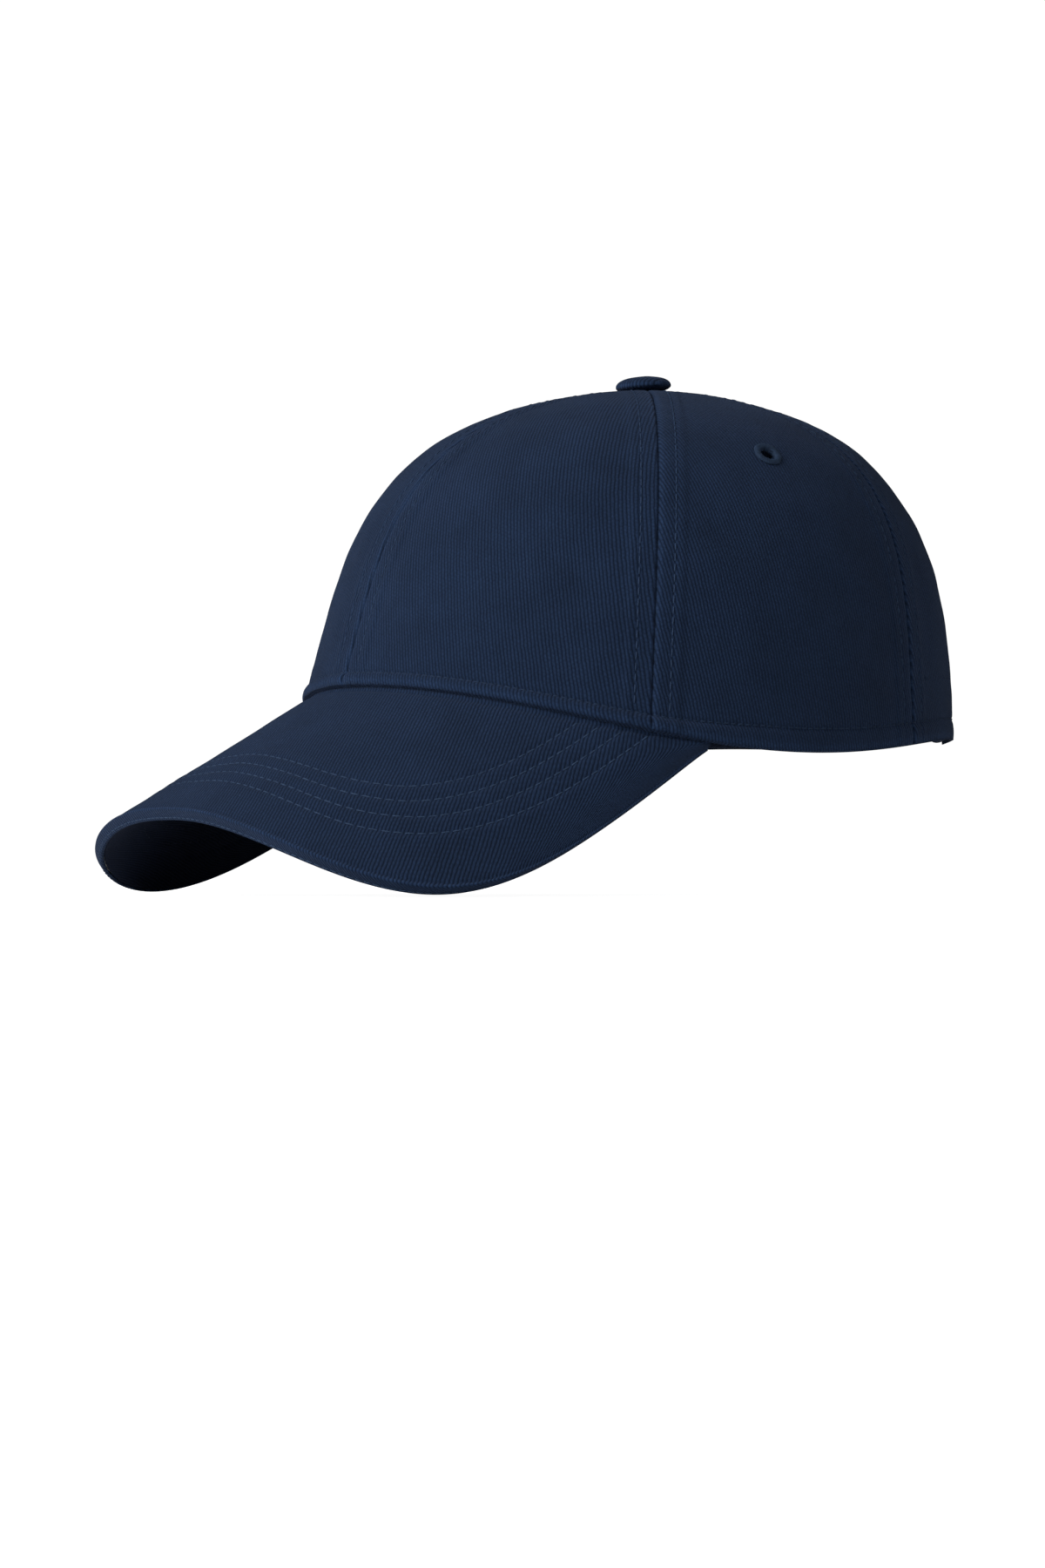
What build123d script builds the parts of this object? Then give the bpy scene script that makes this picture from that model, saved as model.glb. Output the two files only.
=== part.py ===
from build123d import *
from math import cos, hypot, radians, sin, tan
import os

# A six-panel baseball cap. Sizes are in millimetres and degrees.
# The brim points to -Y, the wearer's left is +X, and the origin is the centre of the head opening.
# Angles round the crown start at the front and grow towards the wearer's left.

# Crown: a wavy oval base, closed by curves that climb to the button. A depth is measured inwards.
half_width = 86.9
half_length = 102.2
rear_taper = 1.5
crown_height = 103.3
crown_tilt = 3.63
button_shift = -1.4
base_wave = (0.0, -0.8, 5.7, 1.9, -1.3)
wall_lean = (6.7, 3.0, 1.5)
lower_pull = (0.54, -0.03)
upper_pull = (0.88, -0.01, -0.08)
top_slope = (3.5, 3.0, 0.5)
front_seam = 61.4
back_seam = 115.0
crown_hole = 2.6

# Layers of the crown, from the outer face inwards.
panel_thickness = 0.9
sewn_gap = 0.05
buckram_thickness = 0.55
buckram_margin = 7.0
label_angles = (-150, -128)
label_start = 9.0
label_height = 14.0
tape_thickness = 0.35
tape_width = 12.0
tape_end_radius = 14.5
lining_start = 3.2
band_depth = 4.1
band_thickness = 1.2
band_height = 32.0
band_foot = 1.6

# Eyelets: embroidered rings, one in each side panel and each back panel.
eyelet_places = {"side": (87.0, 86.0), "back": (147.0, 80.0)}
eyelet_hole = 1.9
eyelet_sleeve = 2.7
eyelet_radius = 4.5
eyelet_rise = 0.6

# Button on the crown's top.
button_radius = 7.9
button_rise = 2.7
button_tilt = 3.7
rim_level = 1.9
rim_drop = 0.9
cover_thickness = 0.6
cover_opening = 4.2
shell_thickness = 0.45
shank_radius = 1.3
rivet_low = -2.6
rivet_head = 0.6
rivet_head_radius = 3.0
rivet_tail_radius = 2.2
washer_radius = 5.2
washer_thickness = 0.7

# Brim: straight rulings from the crown's base to one curved edge, given by its control points.
brim_edge = (
    (0.0, -159.0, -35.6),
    (24.2, -159.0, -35.6),
    (66.6, -162.7, -36.9),
    (93.3, -126.1, -76.6),
    (77.0, -100.3, -59.4),
)
brim_reach = 72.6
brim_tip = 0.985
root_drop = 0.15
cover_layer = 0.8
board_thickness = 1.8
board_slack = 0.1
edge_fold = 1.1
board_margin = 1.6
fold_gap = 0.12
pocket_tip = 0.013
under_tip = 0.016
board_tip = 0.02
board_start = 0.01

# Rear opening and its facing tape.
arch_half_width = 36.0
arch_spring = 22.0
arch_top = 50.0
facing_width = 8.0

# Strap: a band on a slightly conical arc, so that it slides along itself.
arc_centre = 22.5
arc_level = 15.0
arc_radius = 75.4
arc_lean = 6.6
strap_width = 18.0
strap_thickness = 1.2
strap_start = 47.0
strap_end = 127.0
strap_corner = 3.0
tab_thickness = 0.7
tab_rise = 1.1
tab_start = 114.0
tab_end = 131.0

# Buckle, in its own plane: x along the strap towards its tail, y up, z outwards.
buckle_angle = 107.0
wall_inner = 10.0
wall_outer = 11.2
plate_back = -2.2
plate_front = -1.4
pin_place = (-5.0, 2.9)
pin_radius = 0.8
pin_clearance = 0.06
barrel_radius = 1.7
cam_reach = 2.4
bar_place = (9.2, 1.05)
bar_size = (0.9, 0.7)
loop_radius = 0.95
lever_bottom = 2.4
lever_thickness = 0.8
lever_end = 8.6
lever_inner = 9.7
lever_wide = -0.4
lever_corner = 1.8
lever_lip = 0.8
pin_head_radius = 1.2
pin_head = 0.4
plate_reach = 8.0
rail_end = 10.2
rail_top = 2.0
post_foot = -1.0
post_top = 4.2
cam_half = 0.9
cam_tip = 0.4
cam_root = 1.2
lip_margin = 2.0
beyond = 20.0

panel_inner = panel_thickness + sewn_gap
tilt = radians(crown_tilt)
CROWN = Plane(origin=(0, 0, 0), x_dir=(1, 0, 0), z_dir=(0, sin(tilt), cos(tilt)))
UP = CROWN.z_dir
pieces = {}


def in_crown(x, y, z):
    """A point of the crown's own frame, which is tilted back a little, in the part's frame."""
    return CROWN.from_local_coords(Vector(x, y, z))


def wave(terms, angle):
    """A value that varies round the crown as a sum of cosines."""
    return sum(term * cos(radians(order * angle)) for order, term in enumerate(terms))


def meridian(angle):
    """Control points (radius, height) of the crown's curve at an angle, and the way it faces."""
    turn = radians(angle)
    x = (half_width - rear_taper * cos(turn)) * sin(turn)
    y = -half_length * cos(turn) - button_shift
    reach = hypot(x, y)
    base = wave(base_wave, angle)
    climb = wave(lower_pull, angle) * (crown_height - base)
    pull = wave(upper_pull, angle) * reach
    foot = (reach, base)
    lower = (reach - climb * tan(radians(wave(wall_lean, angle))), base + climb)
    upper = (pull, crown_height - pull * tan(radians(wave(top_slope, angle))))
    return (foot, lower, upper, (0.0, crown_height)), (x / reach, y / reach)


def bezier(points, share):
    """The point at a share, 0 to 1, of a Bezier curve with these control points."""
    while len(points) > 1:
        pairs = zip(points, points[1:])
        points = [tuple(a + (b - a) * share for a, b in zip(p, q)) for p, q in pairs]
    return points[0]


def crown_skin(angle, share):
    """A point of the crown's outer face, share 0 at the base and 1 at the button."""
    curve, (out_x, out_y) = meridian(angle)
    reach, height = bezier(curve, share)
    return in_crown(out_x * reach, button_shift + out_y * reach, height)


def sunk(skin, first, second, depth):
    """The point of a surface moved inwards along its normal, which comes from small steps."""
    step = 1e-4
    low = max(second - step, 0) if second <= 1 else second - step
    along = skin(first + 100 * step, second) - skin(first - 100 * step, second)
    across = skin(first, second + step) - skin(first, low)
    return skin(first, second) - along.cross(across).normalized() * depth


def share_at(angle, reached):
    """The share of a meridian where reached(radius, height above the base) turns true."""
    curve = meridian(angle)[0]
    low, high = 0.0, 1.0
    for _ in range(40):
        middle = (low + high) / 2
        reach, height = bezier(curve, middle)
        if reached(reach, height - curve[0][1]):
            high = middle
        else:
            low = middle
    return high


def at_height(height):
    """For each angle, the share of the meridian at this height above the base edge."""
    if not height:
        return lambda angle: 0.0
    return lambda angle: share_at(angle, lambda reach, climbed: climbed >= height)


def at_radius(radius):
    """For each angle, the share of the meridian at this distance from the button."""
    return lambda angle: share_at(angle, lambda reach, climbed: reach <= radius)


def crown_sheet(start, end, bottom, top, depth):
    """A face at a depth under the crown's skin, from one angle to another, between two edges."""
    columns = max(8, round((end - start) / 4))
    rows = 14
    grid = []
    for column in range(columns + 1):
        angle = start + (end - start) * column / columns
        low, high = bottom(angle), top(angle)
        shares = [low + (high - low) * row / rows for row in range(rows + 1)]
        grid.append([sunk(crown_skin, angle, share, depth) for share in shares])
    return Face.make_surface_from_array_of_points(grid, tol=0.004, min_deg=3, max_deg=6)


def seam_plane(angle, shift=0.0):
    """The upright plane through the button and a seam, its normal towards larger angles."""
    out_x, out_y = meridian(angle)[1]
    normal = in_crown(-out_y, out_x, 0)
    origin = in_crown(0, button_shift, 0) + normal * shift
    return Plane(origin=origin, x_dir=in_crown(out_x, out_y, 0), z_dir=normal)


def layer(start, end, bottom, top, depth, thickness):
    """A layer of the crown as a closed solid, its outer face at this depth."""
    with BuildPart() as made:
        thicken(crown_sheet(start, end, bottom, top, depth), amount=-thickness)
    return made.part


def save(name, part):
    """Labels a finished piece and keeps it for export."""
    part.label = name
    pieces[name] = part


def save_pair(name, left_part):
    """Keeps a piece of the left half, and its mirror image on the right."""
    save(f"{name}_left", left_part)
    with BuildPart() as right:
        mirror(left_part, about=Plane.YZ)
    save(f"{name}_right", right.part)


# Fabric panels: half of the crown's shell, parted along the seams.


def arch_outline(margin):
    """The rear opening's outline, made larger by a margin, in the plane it is cut through."""
    width, low = arch_half_width + margin, -30.0
    with BuildSketch(Plane(origin=(0, 0, 0), x_dir=(-1, 0, 0), z_dir=CROWN.y_dir)) as outline:
        with BuildLine():
            left = Line((-width, low), (-width, arch_spring))
            rise = arch_top - arch_spring + margin
            EllipticalCenterArc((0, arch_spring), width, rise, start_angle=0, arc_size=180)
            right = Line((width, arch_spring), (width, low))
            Line(left @ 0, right @ 1)
        make_face()
    return outline.sketch


def eyelet_plane(panel):
    """The plane that touches the crown at a panel's eyelet."""
    angle, height = eyelet_places[panel]
    share = at_height(height)(angle)
    place = crown_skin(angle, share)
    return Plane(origin=place, z_dir=place - sunk(crown_skin, angle, share, 1.0))


def eyelet_cut(panel):
    """The disc that an eyelet's sleeve takes out of its panel."""
    with BuildSketch(eyelet_plane(panel)) as disc:
        Circle(eyelet_sleeve)
    return disc.sketch


half_crown = layer(-4, 184, at_height(0), at_radius(crown_hole), 0, panel_thickness)

with BuildPart() as front_panel:
    add(half_crown)
    split(bisect_by=Plane.YZ, keep=Keep.TOP)
    split(bisect_by=seam_plane(front_seam), keep=Keep.BOTTOM)

with BuildPart() as side_panel:
    add(half_crown)
    split(bisect_by=seam_plane(front_seam), keep=Keep.TOP)
    split(bisect_by=seam_plane(back_seam), keep=Keep.BOTTOM)
    extrude(eyelet_cut("side"), amount=5, both=True, mode=Mode.SUBTRACT)

with BuildPart() as back_panel:
    add(half_crown)
    split(bisect_by=seam_plane(back_seam), keep=Keep.TOP)
    split(bisect_by=Plane.YZ, keep=Keep.TOP)
    extrude(arch_outline(0), amount=150, mode=Mode.SUBTRACT)
    extrude(eyelet_cut("back"), amount=5, both=True, mode=Mode.SUBTRACT)

save_pair("front_panel", front_panel.part)
save_pair("side_panel", side_panel.part)
save_pair("back_panel", back_panel.part)

# Buckram: the stiffener behind each front panel.

with BuildPart() as buckram:
    add(layer(-4, front_seam, at_height(lining_start), at_radius(tape_end_radius), panel_inner,
              buckram_thickness))
    split(bisect_by=Plane.YZ, keep=Keep.TOP)
    split(bisect_by=seam_plane(front_seam, -buckram_margin), keep=Keep.BOTTOM)

save_pair("buckram", buckram.part)

# Seam tapes: one along the inside of each seam.


def seam_tape(angle, start_height, depth):
    """A tape along a seam, from a height above the base to near the button."""
    reach = 28
    with BuildPart() as tape:
        add(layer(angle - reach, angle + reach, at_height(start_height), at_radius(tape_end_radius),
                  depth, tape_thickness))
        split(bisect_by=seam_plane(angle, -tape_width / 2), keep=Keep.TOP)
        split(bisect_by=seam_plane(angle, tape_width / 2), keep=Keep.BOTTOM)
    return tape.part


save("seam_tape_front", seam_tape(0, lining_start, panel_inner + buckram_thickness + sewn_gap))
save("seam_tape_rear", seam_tape(180, arch_top + facing_width, panel_inner))
save_pair("seam_tape_front", seam_tape(front_seam, lining_start, panel_inner))
save_pair("seam_tape_back", seam_tape(back_seam, lining_start, panel_inner))

# Facing tape round the rear opening, and the sweatband, which is sewn in along its foot.

with BuildPart() as facing:
    add(layer(142, 218, at_height(band_foot + 0.4), at_height(62), panel_inner, tape_thickness))
    extrude(arch_outline(facing_width), amount=150, mode=Mode.INTERSECT)
    extrude(arch_outline(0), amount=150, mode=Mode.SUBTRACT)

save("rear_facing", facing.part)

with BuildPart() as sweatband:
    add(layer(-160, 160, at_height(0), at_height(band_height), band_depth, band_thickness))
    add(layer(-160, 160, at_height(0), at_height(band_foot), panel_inner, band_depth - panel_inner + 0.1))
    extrude(arch_outline(0), amount=150, mode=Mode.SUBTRACT)

save("sweatband", sweatband.part)
save("care_label", layer(*label_angles, at_height(label_start), at_height(label_start + label_height),
                         band_depth + band_thickness + sewn_gap, tape_thickness))

# Eyelets: a flange on each face of the panel, joined by a sleeve.


def eyelet(panel, panel_part):
    """An embroidered ring, cut to lie on its panel."""
    plane = eyelet_plane(panel)
    inner_flange = eyelet_radius - 0.5
    with BuildPart() as ring:
        with BuildSketch(plane.offset(-0.1)):
            Circle(eyelet_radius)
        extrude(amount=0.1 + eyelet_rise)
        fillet(ring.edges().sort_by(Axis(plane.origin, plane.z_dir))[-1], 0.35)
        with BuildSketch(plane.offset(-panel_thickness - eyelet_rise)):
            Circle(inner_flange)
        extrude(amount=eyelet_rise + 0.1)
        with BuildSketch(plane.offset(-panel_thickness)):
            Circle(eyelet_sleeve)
        extrude(amount=panel_thickness)
        with BuildSketch(plane):
            Circle(eyelet_hole)
        extrude(amount=5, both=True, mode=Mode.SUBTRACT)
        add(panel_part, mode=Mode.SUBTRACT)
    return ring.part


save_pair("eyelet_side", eyelet("side", side_panel.part))
save_pair("eyelet_back", eyelet("back", back_panel.part))

# Button: a fabric-covered metal shell, held by a rivet and a washer inside the crown.

apex = in_crown(0, button_shift, crown_height)
lean = radians(button_tilt)
button_plane = Plane(origin=apex, x_dir=(1, 0, 0), z_dir=(0, -sin(lean), cos(lean)))
button_axis = Axis(apex, (0, -sin(lean), cos(lean)))
button_section = Plane(origin=apex, x_dir=(1, 0, 0), z_dir=(0, -cos(lean), -sin(lean)))


def half_dome(radius, rise, drop):
    """Half the outline of a dome: quarter ellipses above and below its rim."""
    bow = 0.5523
    with BuildSketch(button_section) as outline:
        with BuildLine():
            Bezier((0, rim_level + rise), (bow * radius, rim_level + rise),
                   (radius, rim_level + bow * rise), (radius, rim_level))
            Bezier((radius, rim_level), (radius, rim_level - bow * drop),
                   (bow * radius, rim_level - drop), (0, rim_level - drop))
            Line((0, rim_level - drop), (0, rim_level + rise))
        make_face()
    return outline.sketch


with BuildPart() as button_cover:
    revolve(half_dome(button_radius, button_rise, rim_drop), axis=button_axis)
    revolve(half_dome(button_radius - cover_thickness, button_rise - cover_thickness,
                      rim_drop - cover_thickness), axis=button_axis, mode=Mode.SUBTRACT)
    with BuildSketch(button_plane):
        Circle(cover_opening)
    extrude(amount=rim_level, mode=Mode.SUBTRACT)

shell_outer = cover_thickness + sewn_gap
shell_inner = shell_outer + shell_thickness

with BuildPart() as button_shell:
    revolve(half_dome(button_radius - shell_outer, button_rise - shell_outer, 0.3), axis=button_axis)
    revolve(half_dome(button_radius - shell_inner, button_rise - shell_inner, 0.1), axis=button_axis,
            mode=Mode.SUBTRACT)
    with BuildSketch(button_plane):
        Circle(button_radius)
    extrude(amount=rim_level, mode=Mode.SUBTRACT)

with BuildPart() as button_rivet:
    with BuildSketch(button_plane.offset(rivet_low)):
        Circle(shank_radius)
    extrude(amount=rim_level - rivet_low)
    with BuildSketch(button_plane.offset(rim_level)):
        Circle(rivet_head_radius)
    extrude(amount=rivet_head)
    with BuildSketch(button_plane.offset(rivet_low - rivet_head)):
        Circle(rivet_tail_radius)
    extrude(amount=rivet_head)

with BuildPart() as button_washer:
    with BuildSketch(button_plane.offset(rivet_low)):
        Circle(washer_radius)
        Circle(shank_radius, mode=Mode.SUBTRACT)
    extrude(amount=washer_thickness)

save("button_cover", button_cover.part)
save("button_shell", button_shell.part)
save("button_rivet", button_rivet.part)
save("button_washer", button_washer.part)

# Brim: a plastic board between a top cover, which folds over the edge, and an under cover.

tip_curve, (tip_x, tip_y) = meridian(brim_reach)
tip_reach, tip_base = tip_curve[0]
brim_end = (tip_reach * tip_x, button_shift + tip_reach * tip_y, tip_base)
brim_thickness = 2 * cover_layer + board_thickness + board_slack + 2 * sewn_gap


def brim_skin(side, share):
    """A point of the brim's middle face: side -1 to 1 across it, share 0 at the crown and 1 at the edge."""
    root = sunk(crown_skin, abs(side) * brim_reach, 0, panel_thickness) - UP * root_drop
    x, y, z = bezier((*brim_edge, brim_end), abs(side))
    place = root + (in_crown(x, y, z) - root) * share
    return place if side >= 0 else Vector(-place.X, place.Y, place.Z)


def brim_layer(tip, start, inset, depth, thickness):
    """A layer of the brim as a closed solid. Its top face is at this depth, and its edge is set in."""
    columns, rows = 44, 10
    grid = []
    for column in range(columns + 1):
        side = tip * (2 * column / columns - 1)
        length = (brim_skin(side, 1) - brim_skin(side, 0)).length
        end = 1 - inset / length
        shares = [start + (end - start) * row / rows for row in range(rows + 1)]
        rise = brim_thickness / 2 * (1 - abs(side) ** 10)
        grid.append([sunk(brim_skin, side, share, rise * share - depth) for share in shares])
    face = Face.make_surface_from_array_of_points(grid, tol=0.004, min_deg=3, max_deg=6)
    with BuildPart() as made:
        thicken(face, amount=thickness)
    return made.part


with BuildPart() as brim_top_cover:
    add(brim_layer(brim_tip, 0, 0, 0, brim_thickness))
    add(brim_layer(brim_tip - pocket_tip, -0.05, edge_fold, cover_layer, brim_thickness), mode=Mode.SUBTRACT)

save("brim_top_cover", brim_top_cover.part)
save("brim_board", brim_layer(brim_tip - board_tip, board_start, board_margin,
                             cover_layer + sewn_gap, board_thickness))
save("brim_under_cover", brim_layer(brim_tip - under_tip, 0, edge_fold + fold_gap,
                                    brim_thickness - cover_layer, cover_layer))

# Strap and its tab: bands on one slightly conical arc.

ARC = Plane(origin=in_crown(0, arc_centre, arc_level), x_dir=(1, 0, 0), z_dir=UP)


def arc_point(angle, radius):
    """A point of the arc's own plane, at an angle from +X and a distance from its axis."""
    return ARC.from_local_coords(Vector(radius * cos(radians(angle)), radius * sin(radians(angle)), 0))


def arc_band(start, end, rise, width, thickness):
    """A band on the arc from one angle to another, its middle this far outside the arc."""
    out = arc_point(start, 1) - ARC.origin
    slope = tan(radians(arc_lean)) * width / 2
    near, far = arc_radius + rise - thickness / 2, arc_radius + rise + thickness / 2
    with BuildPart() as band:
        with BuildSketch(Plane(origin=ARC.origin, x_dir=out, z_dir=out.cross(UP))):
            with BuildLine():
                Polyline((near + slope, -width / 2), (far + slope, -width / 2),
                         (far - slope, width / 2), (near - slope, width / 2), close=True)
            make_face()
        revolve(axis=Axis(ARC.origin, UP), revolution_arc=end - start)
    return band.part


with BuildPart() as strap:
    add(arc_band(strap_start, strap_end, 0, strap_width, strap_thickness))
    fillet(strap.edges().group_by(SortBy.LENGTH)[0], strap_corner)

save("strap", strap.part)

# Buckle: a frame round the strap, a pin, a lever with a cam, and a fabric tab on the frame's bar.

buckle_out = Vector(cos(radians(buckle_angle)) * cos(radians(arc_lean)),
                    sin(radians(buckle_angle)) * cos(radians(arc_lean)), sin(radians(arc_lean)))
BUCKLE = Plane(
    origin=arc_point(buckle_angle, arc_radius),
    x_dir=arc_point(buckle_angle + 90, 1) - ARC.origin,
    z_dir=CROWN.from_local_coords(buckle_out),
)
SIDE = Plane(origin=BUCKLE.origin, x_dir=BUCKLE.x_dir, z_dir=-BUCKLE.y_dir)
pin_x, pin_z = pin_place


def side_disc(place, radius):
    """A disc seen from the buckle's side."""
    with BuildSketch(SIDE) as disc:
        with Locations(place):
            Circle(radius)
    return disc.sketch


def side_outline(*points):
    """An outline seen from the buckle's side."""
    with BuildSketch(SIDE) as outline:
        with BuildLine():
            Polyline(*points, close=True)
        make_face()
    return outline.sketch


def side_bar():
    """The section of the bar that holds the tab."""
    with BuildSketch(SIDE) as section:
        with Locations(bar_place):
            Rectangle(*bar_size)
    return section.sketch


everything = side_outline((-beyond, -beyond), (beyond, -beyond), (beyond, beyond), (-beyond, beyond))

with BuildPart() as buckle_frame:
    extrude(side_outline((-plate_reach, plate_back), (plate_reach, plate_back), (rail_end, 0),
                         (rail_end, rail_top), (post_foot, rail_top), (pin_x + 2, post_top),
                         (pin_x - 2, post_top), (-plate_reach, post_top - 1)), amount=wall_outer, both=True)
    extrude(everything, amount=wall_inner, both=True, mode=Mode.SUBTRACT)
    extrude(side_outline((-plate_reach, plate_back), (plate_reach, plate_back), (plate_reach, plate_front),
                         (-plate_reach, plate_front)), amount=wall_outer, both=True)
    extrude(side_bar(), amount=wall_outer, both=True)
    extrude(side_disc(pin_place, pin_radius), amount=wall_outer + 1, both=True, mode=Mode.SUBTRACT)

with BuildPart() as buckle_pin:
    extrude(side_disc(pin_place, pin_radius), amount=wall_outer, both=True)
    extrude(side_disc(pin_place, pin_head_radius), amount=wall_outer + pin_head, both=True)
    extrude(everything, amount=wall_outer, both=True, mode=Mode.SUBTRACT)
    extrude(side_disc(pin_place, pin_radius), amount=wall_outer, both=True)

lever_top = lever_bottom + lever_thickness

with BuildPart() as buckle_lever:
    extrude(side_disc(pin_place, barrel_radius), amount=lever_inner, both=True)
    extrude(side_outline((pin_x - cam_half, pin_z - cam_root), (pin_x - cam_tip, pin_z - cam_reach),
                         (pin_x + cam_tip, pin_z - cam_reach), (pin_x + cam_half, pin_z - cam_root)),
            amount=lever_inner, both=True)
    extrude(side_outline((pin_x, lever_bottom), (lever_wide + 2, lever_bottom), (lever_wide + 2, lever_top),
                         (pin_x, lever_top)), amount=lever_inner, both=True)
    with BuildSketch(BUCKLE.offset(lever_bottom)):
        with Locations(((lever_wide + lever_end) / 2, 0)):
            RectangleRounded(lever_end - lever_wide, 2 * wall_outer, lever_corner)
    extrude(amount=lever_thickness)
    with BuildSketch(BUCKLE.offset(lever_top)):
        with Locations((lever_end - lever_lip, 0)):
            SlotOverall(2 * (wall_inner - lip_margin), lever_lip, rotation=90)
    extrude(amount=lever_lip)
    extrude(side_disc(pin_place, pin_radius + pin_clearance), amount=wall_outer, both=True,
            mode=Mode.SUBTRACT)

with BuildPart() as buckle_tab:
    add(arc_band(tab_start, tab_end, tab_rise, strap_width, tab_thickness))
    extrude(side_disc(bar_place, loop_radius), amount=strap_width / 2, both=True)
    extrude(side_bar(), amount=wall_outer, both=True, mode=Mode.SUBTRACT)

save("buckle_frame", buckle_frame.part)
save("buckle_pin", buckle_pin.part)
save("buckle_lever", buckle_lever.part)
save("buckle_tab", buckle_tab.part)

os.makedirs("parts", exist_ok=True)
for name, part in pieces.items():
    export_step(part, f"parts/{name}.step")
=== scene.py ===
"""A navy six-panel baseball cap in cloth, thread and metal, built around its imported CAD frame.

Sizes are in millimetres and degrees until a mesh is made. Angles round the crown start at the front
and grow towards the wearer's left, which is +X. The brim points to -Y.
"""

from math import cos, pi, radians, sin, sqrt, tan

import bmesh
import bpy
import numpy as np
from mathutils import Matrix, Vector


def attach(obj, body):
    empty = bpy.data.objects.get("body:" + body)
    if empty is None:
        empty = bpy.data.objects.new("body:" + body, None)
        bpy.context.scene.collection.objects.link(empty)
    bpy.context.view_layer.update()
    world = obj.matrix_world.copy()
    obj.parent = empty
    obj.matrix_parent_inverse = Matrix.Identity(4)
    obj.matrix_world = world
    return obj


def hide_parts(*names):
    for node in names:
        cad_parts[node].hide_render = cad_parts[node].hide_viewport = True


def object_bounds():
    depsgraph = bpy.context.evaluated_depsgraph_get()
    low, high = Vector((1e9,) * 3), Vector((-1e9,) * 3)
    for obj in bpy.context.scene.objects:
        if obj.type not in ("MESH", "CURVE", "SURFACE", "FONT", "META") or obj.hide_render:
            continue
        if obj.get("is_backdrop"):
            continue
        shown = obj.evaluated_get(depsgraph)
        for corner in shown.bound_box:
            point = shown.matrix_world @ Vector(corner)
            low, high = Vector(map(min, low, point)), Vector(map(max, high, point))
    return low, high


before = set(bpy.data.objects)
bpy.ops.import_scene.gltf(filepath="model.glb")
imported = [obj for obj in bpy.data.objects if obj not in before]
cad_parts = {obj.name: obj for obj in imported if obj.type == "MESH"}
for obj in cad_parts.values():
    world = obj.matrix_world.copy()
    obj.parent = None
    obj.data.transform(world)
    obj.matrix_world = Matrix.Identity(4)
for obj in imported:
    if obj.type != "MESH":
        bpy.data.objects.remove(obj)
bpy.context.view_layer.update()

MM = 0.001

# The crown's form, as in the CAD model.
half_width, half_length, rear_taper = 86.9, 102.2, 1.5
crown_height, crown_tilt, button_shift = 103.3, 3.63, -1.4
base_wave = (0.0, -0.8, 5.7, 1.9, -1.3)
wall_lean = (6.7, 3.0, 1.5)
lower_pull = (0.54, -0.03)
upper_pull = (0.88, -0.01, -0.08)
top_slope = (3.5, 3.0, 0.5)
front_seam, back_seam, rear_seam = 61.4, 115.0, 180.0
crown_hole = 2.6

# Layers of the crown: depths under its outer face.
panel_thickness = 0.9
panel_inner = 0.95
buckram_thickness, buckram_margin = 0.55, 7.0
tape_thickness = 0.35
tape_half_width, tape_row = 6.0, 4.4
tape_end_radius = 14.5
lining_start = 3.2
unit_length = 168.0  # of a meridian near the base, for each unit of share
band_thickness, band_depth, band_end, band_rows = 1.2, 4.7, 155.2, (3.4, 29.3)
facing_width, facing_start, facing_rows = 8.0, 6.0, (1.8, 6.4)

# Eyelets, the rear opening and the button.
eyelet_places = {"side": (87.0, 86.0), "back": (147.0, 80.0)}
eyelet_cut = 3.0
arch_half_width, arch_spring, arch_top = 36.0, 22.0, 50.0
button_radius, button_rise, button_tilt = 8.35, 3.1, 3.7
rim_level, rim_drop, rim_start = 1.9, 1.75, 7.2
cover_opening, cover_inner, gathers = 4.2, 6.9, 26

# The brim: rulings from the crown's base to one curved edge, given by its control points.
brim_edge = (
    (0.0, -159.0, -35.6),
    (24.2, -159.0, -35.6),
    (66.6, -162.7, -36.9),
    (93.3, -126.1, -76.6),
    (77.0, -100.3, -59.4),
)
brim_reach, brim_tip, root_drop = 72.6, 0.99, 0.15
brim_thickness = 3.6

# The strap's arc, the buckle's place on it and the tab.
arc_centre, arc_level, arc_radius, arc_lean = 22.5, 15.0, 75.4, 6.6
strap_width, strap_thickness = 18.0, 1.2
strap_row, strap_row_depth = strap_width / 2 - 1.8, 0.25
strap_start, strap_end, strap_corner = 47.0, 127.0, 3.0
tab_thickness, tab_rise, tab_start, tab_end = 0.7, 1.1, 114.0, 131.0
buckle_angle, bar_place, loop_radius = 107.0, (9.2, 1.05), 0.95

# Sewing: rows beside the seams, round the hem and across the brim.
seam_row, seam_allowance = 5.0, 8.2
hem_row_front, hem_row_rear, hem_end = 4.0, 6.0, 154.0
quilt_rows, quilt_step = 4, 0.0487
quilt_width, quilt_length, quilt_back, quilt_power = 65.7, 84.0, 50.0, 3.5
seam_stitch, hem_stitch, quilt_stitch, edge_stitch = 3.1, 2.3, 3.3, 2.4
lining_stitch, band_stitch = 3.0, 2.8
thread_radius = 0.22


# Forms shared by the pieces.


def in_crown(x, y, z):
    """Points of the crown's own frame, which is tilted back a little, in the part's frame."""
    lean = radians(crown_tilt)
    x, y, z = np.broadcast_arrays(x, y, z)
    return np.stack([x, y * cos(lean) + z * sin(lean), z * cos(lean) - y * sin(lean)], -1)


def to_crown(points):
    """Points of the part's frame in the crown's own frame."""
    lean = radians(crown_tilt)
    x, y, z = np.moveaxis(points, -1, 0)
    return np.stack([x, y * cos(lean) - z * sin(lean), z * cos(lean) + y * sin(lean)], -1)


UP = in_crown(0.0, 0.0, 1.0)


def wave(terms, angle):
    """A value that varies round the crown as a sum of cosines."""
    return sum(term * np.cos(np.radians(order * angle)) for order, term in enumerate(terms))


def smooth(value, low, high):
    """A soft step from 0 at low to 1 at high."""
    share = np.clip((value - low) / (high - low), 0, 1)
    return share * share * (3 - 2 * share)


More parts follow.
